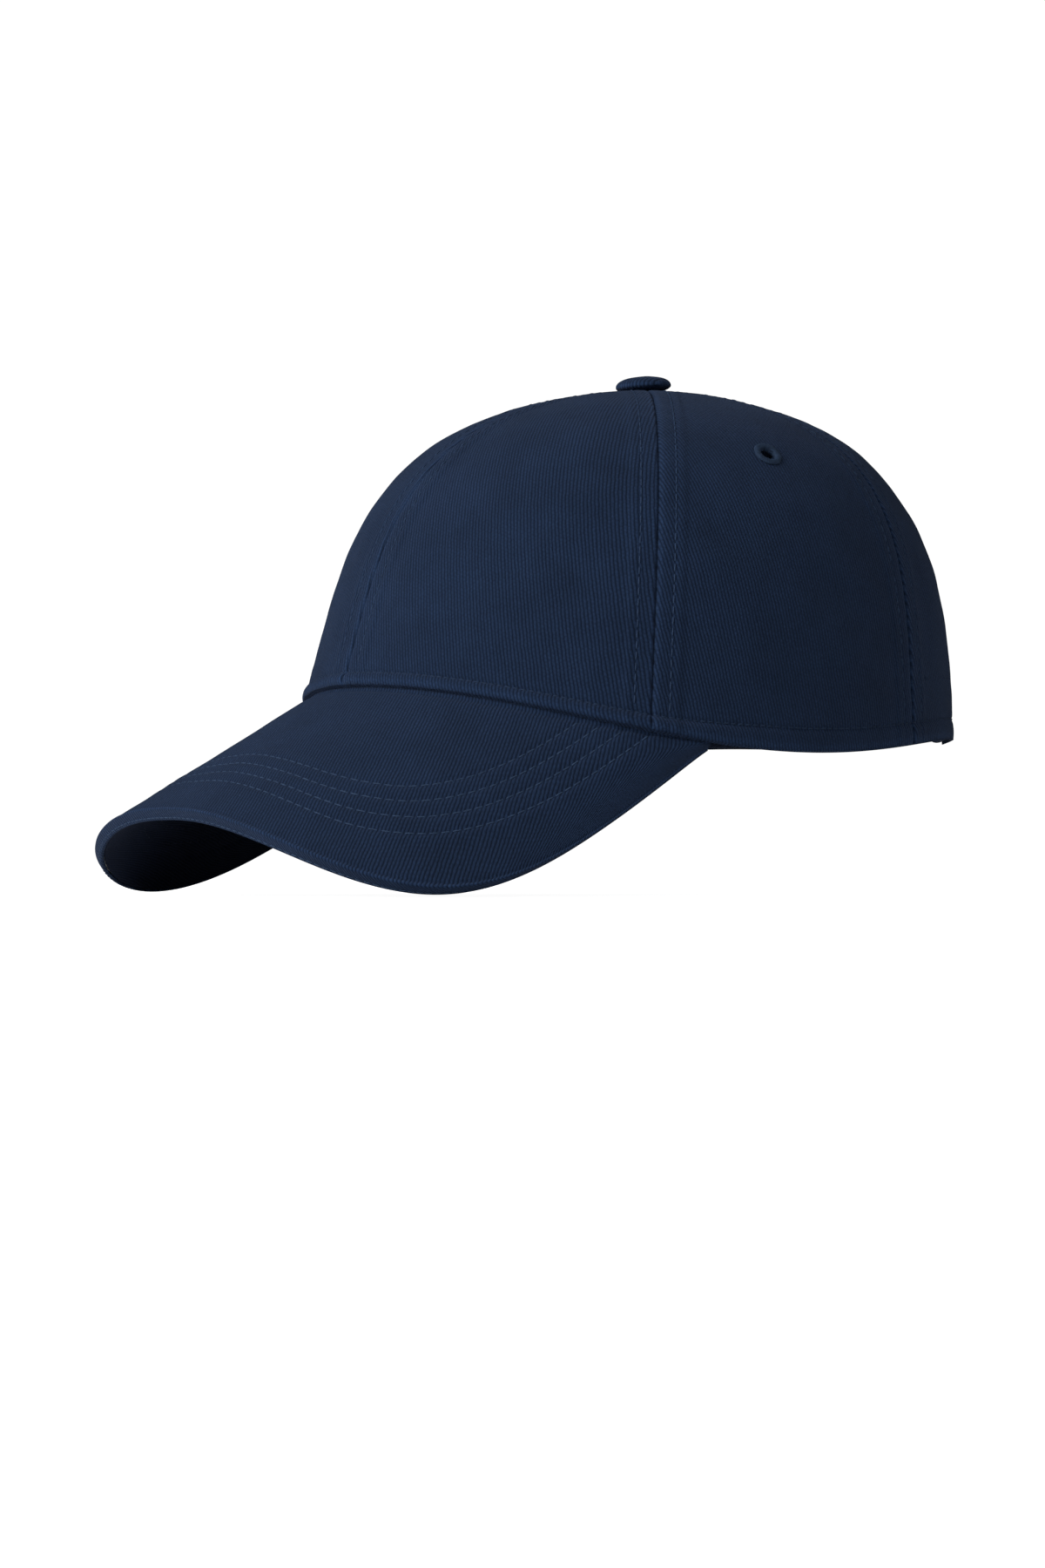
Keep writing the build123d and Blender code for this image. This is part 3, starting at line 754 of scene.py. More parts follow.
def back_panel(side, seed):
    """A back panel with its share of the arch: one patch beside the opening and one above it."""
    spring_angle, spring_share = on_rear(arch_half_width, arch_spring)
    shares, split = row_shares(back_seam, rear_seam, float(spring_share))
    seams = (back_seam, rear_seam)
    ends = []
    for number, share in enumerate(shares):
        table = np.linspace(140, 175, 200)
        across = to_crown(crown_skin(table, share))[..., 0]
        ends.append(np.interp(-arch_half_width, -across, table) if number < split else float(spring_angle))
    angles = np.array([row_angles(back_seam, end, share) for end, share in zip(ends, shares)])
    level = shares[:, None]
    beside_grid = np.where(level < spring_share, hem_stretch(angles, level), level)
    beside_grid = np.where(beside_grid > spring_share, np.maximum(level, spring_share), beside_grid)
    beside = panel_patch(angles, beside_grid, side, seams, seed)
    near_seam = np.arccos(seam_steps[::-1] / arch_half_width)
    turns = np.concatenate([np.linspace(0, near_seam[0], 34)[:-1], near_seam])
    low_angle, low_share = on_rear(arch_half_width * np.cos(turns),
                                   arch_spring + (arch_top - arch_spring) * np.sin(turns))
    rise = (shares[split:] - spring_share) / (shares[-1] - spring_share)
    above_share = low_share + (shares[-1] - low_share) * rise[:, None]
    above_angle = np.tile(low_angle, (len(rise), 1))
    above = panel_patch(above_angle, above_share, side, seams, seed, lip=False)
    rows = split + len(lip_turn) + 1
    parts = join([
        shell_parts(*beside[:2], ("bottom", "top", "first", "last"), upto=rows),
        shell_parts(*above[:2], ("bottom", "top", "last")),
    ])
    return (*parts, np.concatenate([beside[2], above[2]]), np.concatenate([beside[3], above[3]]))


def eyelet_frame(panel, side):
    """Centre, outward direction and two directions across an eyelet."""
    angle, height = eyelet_places[panel]
    share = share_at_height(angle, height)
    centre, out = mirrored(crown_skin(angle, share), side), mirrored(crown_normal(angle, share), side)
    across = unit(np.cross(UP, out))
    return centre, out, across, np.cross(out, across)


def pierced(points, faces, panel, side):
    """Faces that aren't inside the panel's eyelet."""
    centre, out, _, _ = eyelet_frame(panel, side)
    away = points - centre
    flat_distance = np.linalg.norm(away - (away @ out)[:, None] * out, axis=-1)
    inside = (flat_distance < eyelet_cut) & (np.abs(away @ out) < 8)
    return [face for face in faces if not all(inside[list(face)])]


def declare_cloth(piece, weave):
    width, length = np.ptp(weave[:, 0]) * MM, np.ptp(weave[:, 1]) * MM
    area = sum(face.area for face in piece.data.polygons) / 2
    area = float(np.clip(area, 0.3 * width * length, width * length))


def make_panels(side, hand):
    """The three panels of one half."""
    for panel, first, last in crown_panels:
        seed = panel_seed(panel, side)
        plain = panel != "back"
        parts = plain_panel(first, last, side, seed) if plain else back_panel(side, seed)
        points, faces, weave, wear_and_highlight = parts
        if panel in eyelet_places:
            faces = pierced(points, faces, panel, side)
        piece = make_piece(f"cloth_{panel}_{hand}", points, faces, panel_cloths[panel], weave=weave,
                           wear_and_highlight=wear_and_highlight, replaces=[f"{panel}_panel_{hand}"])
        declare_cloth(piece, weave)


for side, hand in halves:
    make_panels(side, hand)


# Stitches.


stitch_sides = 6
stitch_shares = np.array([0.0, 0.1, 0.3, 0.5, 0.7, 0.9, 1.0])
stitch_rises = np.array([-0.3, 0.3, 0.85, 1.0, 0.85, 0.3, -0.3])
stitch_slims = np.array([0.55, 0.9, 1.0, 1.0, 1.0, 0.9, 0.55])


def stitch_parts(points, normals, period, filled=0.74, radius=thread_radius, lift=0.06):
    """Threads along a row of points: each a short arched tube whose ends dive into the cloth."""
    run = run_along(points)
    count = int((run[-1] - 0.3) / period)
    if count < 1:
        return []
    starts = (run[-1] - count * period) / 2 + np.arange(count) * period + period * (1 - filled) / 2
    rises = stitch_rises * 1.6 * lift
    spots = starts[:, None] + stitch_shares * period * filled
    path = np.stack([np.interp(spots, run, points[:, axis]) for axis in range(3)], -1)
    out = unit(np.stack([np.interp(spots, run, normals[:, axis]) for axis in range(3)], -1))
    path = path + out * rises[:, None]
    along = unit(np.gradient(path, axis=1))
    across = unit(np.cross(along, out))
    turns = np.arange(stitch_sides) * 2 * pi / stitch_sides
    slim = stitch_slims[:, None, None] * radius
    rings = path[:, :, None] + slim * (
        across[:, :, None] * np.cos(turns)[:, None] + out[:, :, None] * np.sin(turns)[:, None] * 0.8
    )
    return [tube_parts(ring) for ring in rings]


def sew(name, rows, body="cap", material=None):
    """One piece of all these stitches."""
    points, faces = join(rows)
    steps, corners = len(stitch_shares), stitch_sides
    count = len(points) // (steps * corners)
    number, step, corner = np.indices((count, steps, corners))
    place = flat(step * 2 / (steps - 1), corner, number)
    return make_piece(name, points, faces, material or thread, body=body, weave=place)


def seam_rows(side):
    """The rows on both sides of a half's seams."""
    rows = []
    for panel, first, last in crown_panels:
        for seam, other, turn in ((first, last, 1), (last, first, -1)):
            share = np.linspace(0.009, 0.99, 700)
            angle = beside_seam(seam, share, turn * seam_row)
            skin = crown_skin(angle, share)
            clear = np.abs(seam_gap(skin, other)) > seam_row
            clear &= np.hypot(skin[..., 0], skin[..., 1] - button_shift) > 9
            clear &= arch_gap(skin) > 1.2
            clear &= climb_length(angle, share) > hem_row(angle) + 0.6
            row = cloth_points(angle[clear], share[clear], (first, last), side, panel_seed(panel, side))
            rows += stitch_parts(*row, seam_stitch)
    return rows


def hem_rows(side):
    """The row round a half of the hem."""
    rows = []
    for panel, first, last in crown_panels:
        angle = np.linspace(first, min(last, hem_end), 160)
        share = hem_row(angle) / unit_length
        row = cloth_points(angle, share, (first, last), side, panel_seed(panel, side))
        rows += stitch_parts(*row, hem_stitch, filled=0.7)
    return rows


sew("thread_seams_left", seam_rows(1))
sew("thread_seams_right", seam_rows(-1))
sew("thread_hem", hem_rows(1) + hem_rows(-1), material=hem_thread)


# Brim.

brim_columns = 300

# Sections of the covers at the edge: inset and depth of the outer face, then of the inner one.
edge_profile = (
    (4.0, 0.0, 4.0, 0.8), (2.9, 0.02, 2.9, 0.8), (2.3, 0.14, 2.2, 0.82), (1.8, 0.08, 1.9, 0.82),
    (1.35, -0.12, 1.6, 0.82), (0.95, -0.2, 1.4, 0.84), (0.6, -0.12, 1.2, 0.9), (0.36, 0.12, 1.05, 1.0),
    (0.26, 0.5, 0.95, 1.15), (0.2, 1.1, 0.9, 1.5), (0.16, 1.8, 0.88, 1.9), (0.16, 2.4, 0.88, 2.3),
    (0.02, 2.85, 0.92, 2.6), (0.0, 3.15, 0.96, 2.7), (0.14, 3.45, 1.0, 2.76), (0.5, 3.62, 1.1, 2.8),
    (1.0, 3.6, 1.2, 2.82),
)
under_profile = (
    (3.4, 3.6, 3.4, 2.82), (2.4, 3.6, 2.4, 2.82), (1.7, 3.56, 1.8, 2.84), (1.3, 3.42, 1.5, 2.9),
)
top_rows, under_rows = 76, 60
board_tip, board_start, board_inset, board_depths = 0.955, 0.014, 1.3, (0.95, 2.65)


def brim_sides(tip):
    """Places across the brim, a little closer together at the tips."""
    even = np.linspace(-1, 1, brim_columns)
    return tip * np.sign(even) * (1 - (1 - np.abs(even)) ** 1.25)


def brim_weave(points):
    """Lengths along the brim's cloth, which bends mostly from side to side."""
    across = np.cumsum(np.hypot(np.diff(points[..., 0], axis=1, prepend=points[:, :1, 0]),
                                np.diff(points[..., 2], axis=1, prepend=points[:, :1, 2])), axis=1)
    across = across - across[:, across.shape[1] // 2 : across.shape[1] // 2 + 1]
    return flat(across, -points[..., 1], 0 * across)


def brim_rows(profile, tip, shares):
    """Outer and inner faces of a brim layer: plain rows, then the profile near the edge."""
    side = brim_sides(tip)
    length, reach = brim_depth(side), profile[0][0]
    fit = np.minimum(1, 0.35 * length / reach)
    start = 1 - reach * fit / length
    outer = [(start * share, 0 * side + profile[0][1]) for share in shares]
    inner = [(start * share, 0 * side + profile[0][3]) for share in shares]
    for inset, depth, inner_inset, inner_depth in profile[1:]:
        outer.append((1 - inset * fit / length, 0 * side + depth))
        inner.append((1 - inner_inset * fit / length, 0 * side + inner_depth))
    return side, [np.array([row[part] for row in face]) for face in (outer, inner) for part in (0, 1)]


def make_board():
    """The plastic board between the covers, which is thinner at its tips, as they are."""
    side = brim_sides(board_tip)
    length = brim_depth(side)
    end = 1 - board_inset * np.minimum(1, 0.35 * length / edge_profile[0][0]) / length
    share = board_start + (end - board_start) * np.linspace(0, 1, 60)[:, None]
    upper, lower = (brim_point(side, share, np.full(share.shape, -depth)) for depth in board_depths)
    points, faces = shell_parts(upper, lower)
    make_piece("board_core", points, faces, board, replaces=["brim_board"])


def make_top():
    """The top cover, which folds over the edge."""
    shares = np.linspace(0, 1, top_rows)
    side, (share, depth, inner_share, inner_depth) = brim_rows(edge_profile, brim_tip, shares)
    plain = brim_point(side, share, -depth)
    relief = quilt_relief(plain, side, share) * (1 - smooth(depth, 0.1, 1.0)) * smooth(1 - share, 0.0, 0.05)
    outer = brim_point(side, share, relief - depth)
    inner = brim_point(side, inner_share, -inner_depth)
    # Painted highlight, with wear, on the raised crease at the top of the brim's edge and on its lower
    # corner.
    crease_highlight = dip(depth, -0.2, 0.16) * (np.arange(len(share)) > top_rows)[:, None]
    wear_and_highlight = np.clip(0.8 * crease_highlight + 0.6 * dip(depth, 3.2, 0.2), 0, 1)
    weave = brim_weave(outer)
    weave[:, 1] += np.clip(depth, 0, None).ravel() * 1.2
    points, faces = shell_parts(outer, inner)
    weave = np.tile(weave, (2, 1))
    cover = make_piece("cloth_brim_top", points, faces, brim_cloth, weave=weave,
                       wear_and_highlight=np.tile(wear_and_highlight.ravel(), 2), replaces=["brim_top_cover"])
    declare_cloth(cover, weave)


def make_under():
    """The under cover, which ends inside the top cover's fold."""
    shares = np.linspace(0, 1, under_rows)
    tip = brim_tip - 0.012
    side, (share, depth, inner_share, inner_depth) = brim_rows(under_profile, tip, shares)
    plain = brim_point(side, share, -depth)
    row = quilt_place(plain)
    channels = sum(dip(row, number, 0.16) for number in range(quilt_rows))
    slack = 0.08 * ripple(plain, 20, 41) * smooth(share, 0.02, 0.3) * smooth(1 - share, 0.02, 0.2)
    outer = brim_point(side, share, 0.2 * channels + slack - depth)
    inner = brim_point(side, inner_share, -inner_depth)
    weave = np.tile(brim_weave(outer), (2, 1))
    points, faces = shell_parts(outer, inner)
    cover = make_piece("cloth_brim_under", points, faces, under_cloth_painted_shade, weave=weave,
                       replaces=["brim_under_cover"])
    declare_cloth(cover, weave)


def quilt_row(number, below):
    """Points and directions of one of the brim's stitch rows, on its top or its underside."""
    side = np.linspace(-0.97, 0.97, 900)
    share = first_share(side.shape, lambda at: quilt_place(brim_point(side, at, 0 * side)) >= number, 30)
    clear = (share > 0.012) & (share < 0.985)
    side, share = side[clear], share[clear]
    plain = brim_point(side, share, 0 * side)
    if below:
        return brim_point(side, share, 0 * side - brim_thickness + 0.2), -brim_up(side, share)
    return brim_point(side, share, quilt_relief(plain, side, share)), brim_up(side, share)


def edge_row():
    """Points and directions of the fine row in the brim's edge, just above its lower corner."""
    side = np.linspace(-0.94, 0.94, 900)
    points = brim_point(side, 1 - 0.1 / brim_depth(side), 0 * side - 2.6)
    return points, unit(brim_skin(side, 1.0) - brim_skin(side, 0.98))


make_board()
make_top()
make_under()
sew("thread_edge", stitch_parts(*edge_row(), edge_stitch, filled=0.76, radius=0.18), material=brim_thread)
for name, below, used in (("thread_brim", False, brim_thread), ("thread_under_painted_shade", True, under_thread_painted_shade)):
    rows = [quilt_row(number, below) for number in range(quilt_rows)]
    stitches = [stitch for row in rows for stitch in stitch_parts(*row, quilt_stitch, filled=0.78)]
    sew(name, stitches, material=used)


# Eyelets.

eyelet_threads = 46

# The ring's section: radii, and rises over the crown's face.
eyelet_section = (
    (4.35, -0.25), (4.3, 0.05), (4.1, 0.26), (3.8, 0.4), (3.4, 0.48), (3.0, 0.46), (2.6, 0.32), (2.32, 0.05),
    (2.2, -0.45), (2.25, -1.1), (2.5, -1.42), (3.0, -1.5), (3.8, -1.4), (4.05, -1.1), (3.2, -0.6),
)


def make_eyelet(panel, side, hand):
    """A buttonholed ring of radial threads through the panel."""
    centre, out, across, along = eyelet_frame(panel, side)
    turns = np.linspace(0, 2 * pi, eyelet_threads * 5, endpoint=False)
    ridge = np.abs(np.cos(turns * eyelet_threads / 2)) - 0.5
    circle = np.stack([np.cos(turns), np.sin(turns), 0 * turns], -1)
    uneven = ripple(3 * circle, 3.0, 61 + panel_seeds[panel])
    rings = []
    for radius, rise in eyelet_section:
        edge = 1 + 0.03 * uneven * (radius > 4) + 0.025 * ridge * (radius < 2.3)
        lift = rise + 0.13 * ridge * (rise > -0.5) * (radius > 1.95)
        flat_ring = (radius * edge)[:, None] * (circle @ np.array([across, along, 0 * out]))
        rings.append(centre + flat_ring + lift[:, None] * out)
    rings = np.array(rings)
    index = np.arange(rings.shape[0] * rings.shape[1]).reshape(rings.shape[:2])
    faces = loop_faces(np.concatenate([index, index[:1]], 0))
    level, turn = np.meshgrid(np.arange(len(rings)) * 0.5, turns * 4, indexing="ij")
    weave = flat(level, turn, 0 * turn)
    make_piece(f"ring_{panel}_{hand}", rings.reshape(-1, 3), faces, ring_thread, weave=weave,
               replaces=[f"eyelet_{panel}_{hand}"])


for side, hand in halves:
    for panel in eyelet_places:
        make_eyelet(panel, side, hand)


# Button.


def make_button():
    """The cloth cover: a dome drawn in under its rim, with small gathers."""
    lean = radians(button_tilt)
    apex = in_crown(0.0, button_shift, crown_height)
    across, ahead, up = np.array([(1, 0, 0), (0, cos(lean), sin(lean)), (0, -sin(lean), cos(lean))])
    arcs = np.linspace(0, pi / 2, 24)
    top = [(button_radius * sin(arc) ** 0.86, rim_level + button_rise * cos(arc) ** 0.9) for arc in arcs]
    low = [(button_radius * cos(arc) ** 0.7, rim_level - rim_drop * sin(arc)) for arc in arcs[1:17]]
    outer = np.array(top + low + [(cover_opening, rim_level - rim_drop + 0.02)])
    levels = outer[:, 1]
    over_rim = np.clip(levels - rim_level, 0, 1)
    inner_levels = np.where(levels > rim_level, levels - 0.6 * over_rim, levels + 0.25)
    inner = np.stack([np.minimum(outer[:, 0], cover_inner), inner_levels], -1)
    turns = np.linspace(0, 2 * pi, 144, endpoint=False)
    faces_of = []
    for section, puff in ((outer, 1.0), (inner, 0.0)):
        ring = []
        for radius, level in section:
            pleat = 0.10 * smooth(rim_level - level, 0.0, 0.7) * np.cos(turns * gathers) * puff
            spot = np.stack([radius * np.cos(turns), radius * np.sin(turns), 0 * turns], -1)
            dent = 0.05 * ripple(spot, 6, 71) * puff
            reach, height = radius + pleat, level + pleat + dent
            place = np.stack([reach * np.cos(turns), reach * np.sin(turns), height], -1)
            ring.append(apex + place @ np.array([across, ahead, up]))
        ring = np.array(ring)
        faces_of.append(np.concatenate([ring, ring[:, :1]], 1))
    points, faces = shell_parts(*faces_of, ("top",))
    planar = (points - apex) @ np.stack([across, ahead, up], -1)
    planar[:, 2] = 0
    # The button's rim painted lighter: wear and painted highlight.
    rim_wear_and_highlight = dip(levels, rim_level + 0.3, 0.5) * (outer[:, 0] >= rim_start)
    wear_and_highlight = np.tile(np.repeat(rim_wear_and_highlight, len(turns) + 1), 2)
    make_piece("cloth_button", points, faces, front_cloth, weave=planar, wear_and_highlight=wear_and_highlight, replaces=["button_cover"])


make_button()


# Inside: buckram, tapes, sweatband, facing and label.


def rounded_ribbon(half, depth, thickness, count=9):
    """A closed section across a ribbon: places across it and depths, with soft edges."""
    across = half * np.sin(np.linspace(-pi / 2, pi / 2, count))
    slim = np.sqrt(np.clip(1 - (np.abs(across) / half) ** 8, 0.02, 1)) * thickness / 2
    middle = depth + thickness / 2
    return np.concatenate([across, across[::-1]]), np.concatenate([middle - slim, (middle + slim)[::-1]])


def tape_sag(skin):
    """How loosely a tape hangs from the cloth."""
    return np.abs(0.12 * ripple(skin, 12, 81))


def band_sway(skin):
    """How far the sweatband stands off the crown."""
    return np.clip(0.28 * ripple(skin, 26, 91), -0.5, 0.9)


def make_tape(name, seam, start, depth, replaced):
    """A binding tape along the inside of a seam, and its two rows of stitches."""
    stop = float(share_at_radius(abs(seam), tape_end_radius))
    share = np.linspace(start, stop, 90)
    across, deep = rounded_ribbon(tape_half_width, depth, tape_thickness)
    angle = np.array([beside_seam(seam, share, gap) for gap in across]).T
    sag = tape_sag(crown_skin(angle, share[:, None]))
    low = deep[None, :] + sag * (deep > depth + tape_thickness / 2)
    rings = crown_point(angle, share[:, None], -low)
    points, faces = tube_parts(rings)
    height = climb_length(seam, share)
    weave = flat(np.tile(across, len(share)), np.repeat(height, len(across)), np.zeros(rings[..., 0].size))
    make_piece(name, points, faces, tape_cloth, weave=weave, replaces=[replaced])
    rows = []
    for gap in (-tape_row, tape_row):
        beside = beside_seam(seam, share, gap)
        low = depth + tape_thickness + tape_sag(crown_skin(beside, share))
        rows += stitch_parts(crown_point(beside, share, -low), -crown_normal(beside, share), lining_stitch)
    return rows


def lining_patch(angles, shares, depth, thickness, swell):
    """Faces of a thin layer inside the crown: its outer face, and an inner face that swells a little."""
    skin, normal = crown_skin(angles, shares), crown_normal(angles, shares)
    last = np.array(angles.shape)[:, None, None] - 1
    place = np.indices(angles.shape)
    edge = np.minimum(place, last - place).min(axis=0)
    full = np.clip(edge / 1.5, 0.25, 1)
    outer = skin - normal * (depth + thickness * (1 - full) / 2)[..., None]
    inner = skin - normal * (depth + thickness * (1 + full) / 2 + swell(skin))[..., None]
    return outer, inner


def make_buckrams():
    """The stiffener behind each front panel."""
    share = np.linspace(lining_start / unit_length, float(share_at_radius(30.0, tape_end_radius)), 60)
    last = np.array([beside_seam(front_seam, np.array([level]), -buckram_margin)[0] for level in share])
    angles = last[:, None] * np.linspace(0.0, 1, 50)
    grid = np.tile(share[:, None], (1, 50))
    outer, inner = lining_patch(angles, grid, panel_inner, buckram_thickness, lambda skin: 0 * skin[..., 0])
    weave = flat(seam_gap(outer, front_seam / 2), climb_length(angles, grid), 0 * angles)
    for side, hand in halves:
        points, faces = shell_parts(mirrored(outer, side), mirrored(inner, side))
        make_piece(f"buckram_mesh_{hand}", points, faces, buckram_weave, weave=np.tile(weave, (2, 1)),
                   replaces=[f"buckram_{hand}"])


def make_tapes():
    """All six seam tapes, and their stitches."""
    start = lining_start / unit_length
    under_buckram = panel_inner + buckram_thickness + 0.05
    rear_start = float(on_rear(0.01, arch_top + facing_width)[1])
    rows = make_tape("tape_front", 0.0, start, under_buckram, "seam_tape_front")
    rows += make_tape("tape_rear", 180.0, rear_start, panel_inner, "seam_tape_rear")
    for side, hand in halves:
        for place, seam in (("front", front_seam), ("back", back_seam)):
            name = f"tape_{place}_{hand}"
            rows += make_tape(name, side * seam, start, panel_inner, f"seam_{name}")
    sew("thread_tapes", rows)


# The sweatband's middle line, as heights and depths: a foot that turns out to the hem, then the wall.
band_foot = ((1.5, 1.25), (0.9, 1.35), (0.55, 1.9), (0.5, 2.8), (0.75, 3.7), (1.5, 4.4), (3.0, 4.65))
band_levels = (6, 10, 14, 18, 22, 26, 29, 31, 31.7)


def make_sweatband():
    """The band round the inside: its foot turns out to the hem, and its top edge is folded."""
    path = np.array(band_foot + tuple((height, band_depth) for height in band_levels))
    along = unit(np.gradient(path, axis=0))
    side = np.stack([-along[:, 1], along[:, 0]], -1)
    half = np.array([0.3, 0.3, 0.35, 0.4, 0.5, 0.55] + [band_thickness / 2] * 8 + [0.5, 0.2])[:, None]
    ring = np.concatenate([path + side * half, (path - side * half)[::-1]])
    angle = np.linspace(-band_end, band_end, 320)
    share = ring[:, 0] / unit_length
    loose = smooth(ring[:, 0], 3, 20) * band_sway(crown_skin(angle[:, None], share[None, :]))
    rings = crown_point(angle[:, None], share[None, :], -(ring[None, :, 1] + loose))
    points, faces = tube_parts(rings)
    weave = flat(np.repeat(run_along(rings[:, 8]), len(ring)), np.tile(ring[:, 0], len(angle)),
                 np.zeros(len(points)))
    make_piece("sweatband_cloth", points, faces, band_cloth, weave=weave, replaces=["sweatband"])
    rows = []
    for height in band_rows:
        share = np.full(angle.shape, height / unit_length)
        loose = smooth(height, 3, 20) * band_sway(crown_skin(angle, share))
        line = crown_point(angle, share, -(band_depth + band_thickness / 2 + loose))
        rows += stitch_parts(line, -crown_normal(angle, share), lining_stitch)
    sew("thread_band", rows)


def arch_line(margin, count=240):
    """Angles and shares of a line round the opening, this far outside its edge."""
    width, rise = arch_half_width + margin, arch_top - arch_spring + margin
    wall = np.linspace(facing_start, arch_spring, 30)[:-1]
    turns = np.linspace(0, pi, count)
    x = np.concatenate([0 * wall + width, width * np.cos(turns), 0 * wall - width])
    z = np.concatenate([wall, arch_spring + rise * np.sin(turns), wall[::-1]])
    angle, share = on_rear(np.abs(x), z)
    return angle, share, np.sign(x + 1e-9)


def make_facing():
    """The tape round the inside of the opening, with its stitches inside and out."""
    across, deep = rounded_ribbon(facing_width / 2 - 0.1, panel_inner, tape_thickness)
    rings = []
    for margin, depth in zip(across + facing_width / 2, deep):
        angle, share, sign = arch_line(margin)
        line = crown_point(angle, share, 0 * angle - depth)
        line[:, 0] *= sign
        rings.append(line)
    rings = np.array(rings).transpose(1, 0, 2)
    points, faces = tube_parts(rings)
    run = run_along(rings[:, 0])
    weave = flat(np.tile(across, len(run)), np.repeat(run, len(across)), np.zeros(len(points)))
    make_piece("facing_tape", points, faces, tape_cloth, weave=weave, replaces=["rear_facing"])
    rows = []
    for margin in facing_rows:
        angle, share, sign = arch_line(margin)
        mirror = np.stack([sign, 0 * sign + 1, 0 * sign + 1], -1)
        normal = crown_normal(angle, share) * mirror
        halves_of_row = [cloth_points(angle, share, (back_seam, rear_seam), side, panel_seed("back", side))[0]
                         for side, _ in halves]
        outside = np.where(sign[:, None] > 0, *halves_of_row)
        inside = crown_point(angle, share, 0 * angle - panel_inner - tape_thickness) * mirror
        rows += stitch_parts(outside, normal, band_stitch) + stitch_parts(inside, -normal, band_stitch)
    sew("thread_opening", rows)


def make_label():
    """A blank care label sewn to the sweatband."""
    heights = np.linspace(9.3, 22.7, 16)
    angles, shares = np.meshgrid(np.linspace(-149.5, -128.5, 24), heights / unit_length)
    layers = lining_patch(angles, shares, 5.4, 0.3, lambda skin: 0.1 + 0.1 * ripple(skin, 14, 95))
    sway = 0.8 * band_sway(crown_skin(angles, shares))
    off = crown_normal(angles, shares) * sway[..., None]
    points, faces = shell_parts(*[layer - off for layer in layers])
    weave = np.tile(flat(*np.indices(angles.shape), 0 * angles), (2, 1))
    make_piece("label_cloth", points, faces, label_weave, weave=weave, replaces=["care_label"])


make_buckrams()
make_tapes()
make_sweatband()
make_facing()
make_label()


# Strap and tab.


def arc_place(angle, level, rise):
    """Points on the strap's conical arc: an angle from +X, a level up its width and a rise outwards."""
    angle, level, rise = np.broadcast_arrays(np.asarray(angle, float), level, rise)
    turn, radius = np.radians(angle), arc_radius + rise - tan(radians(arc_lean)) * level
    x, y = radius * np.cos(turn), radius * np.sin(turn)
    return in_crown(x, arc_centre + y, arc_level + level)


def make_band(name, start, end, rise, thickness, corners, body, replaced, extra=None):
    """A flat cloth band on the arc, with soft edges, rounded ends where asked, and its stitches."""
    length = radians(end - start) * arc_radius
    close = np.linspace(0, 3, 9)
    run = np.unique(np.concatenate([np.linspace(0, length, 120), close, length - close]))
    half = np.full(run.shape, strap_width / 2)
    if corners:
        for gap in (run, length - run):
            cut = np.clip(strap_corner - gap, 0, strap_corner)
            half = half - (strap_corner - np.sqrt(strap_corner**2 - cut**2))
    across, deep = rounded_ribbon(1.0, 0.0, thickness, 21)
    level = half[:, None] * across[None, :]
    angle = start + np.degrees(run / arc_radius)[:, None]
    ends = np.clip(np.minimum(run, length - run) / 0.5, 0.3, 1)[:, None]
    lift = rise + (thickness / 2 - deep)[None, :] * ends
    plain = arc_place(angle, level, lift)
    puff = 0.05 * ripple(plain, 9, 101) - 0.12 * dip(np.abs(level), strap_row, 0.6)
    outward = np.sign(thickness / 2 - deep)[None, :]
    rings = arc_place(angle, level, lift + puff * outward)
    points, faces = tube_parts(rings)
    weave = flat(run[:, None] + 0 * level, level, 0 * level)
    if extra is not None:
        (points, faces), weave = join([(points, faces), extra]), np.concatenate([weave, extra[0]])
    make_piece(name, points, faces, side_cloth, body=body, weave=weave, replaces=[replaced])
    rows = []
    angle = start + np.degrees(np.linspace(1.6, length - 1.6, 200) / arc_radius)
    turn = np.radians(angle)
    out = in_crown(np.cos(turn), np.sin(turn), 0 * turn)
    for edge in (-1, 1):
        for face in (-1, 1):
            line = arc_place(angle, edge * strap_row, rise + face * (thickness / 2 - strap_row_depth))
            rows += stitch_parts(line, out * face, band_stitch)
    return rows


def tab_loop():
    """The tab's turn round the buckle's bar."""
    turn, lean = radians(buckle_angle), radians(arc_lean)
    origin = arc_place(buckle_angle, 0.0, 0.0)
    out = in_crown(cos(turn) * cos(lean), sin(turn) * cos(lean), sin(lean))
    along = in_crown(-sin(turn), cos(turn), 0.0)
    level = np.cross(out, along)
    turns = np.linspace(0, 2 * pi, 24, endpoint=False)
    rings = []
    for place in np.linspace(-strap_width / 2, strap_width / 2, 12):
        radius = loop_radius * (1 - 0.12 * (abs(place) > strap_width / 2 - 0.1))
        centre = origin + along * bar_place[0] + out * bar_place[1] + level * place
        rings.append(centre + radius * (np.cos(turns)[:, None] * along + np.sin(turns)[:, None] * out))
    return tube_parts(np.array(rings))


strap_rows = make_band("strap_cloth", strap_start, strap_end, 0.0, strap_thickness, True, "strap", "strap")
tab_rows = make_band("tab_cloth", tab_start, tab_end, tab_rise, tab_thickness, False, "cap", "buckle_tab",
                     tab_loop())
sew("thread_strap", strap_rows, body="strap")
sew("thread_tab", tab_rows)


# Finishes of the CAD parts that stay as they are.

finishes = {
    "buckle_frame": brass, "buckle_pin": steel, "buckle_lever": brass, "button_shell": steel,
    "button_rivet": steel, "button_washer": steel,
}
for name, material in finishes.items():
    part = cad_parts[name]
    part.data.materials.clear()
    part.data.materials.append(material)


# Floor, light and camera, in metres.

floor_gap = 0.0008


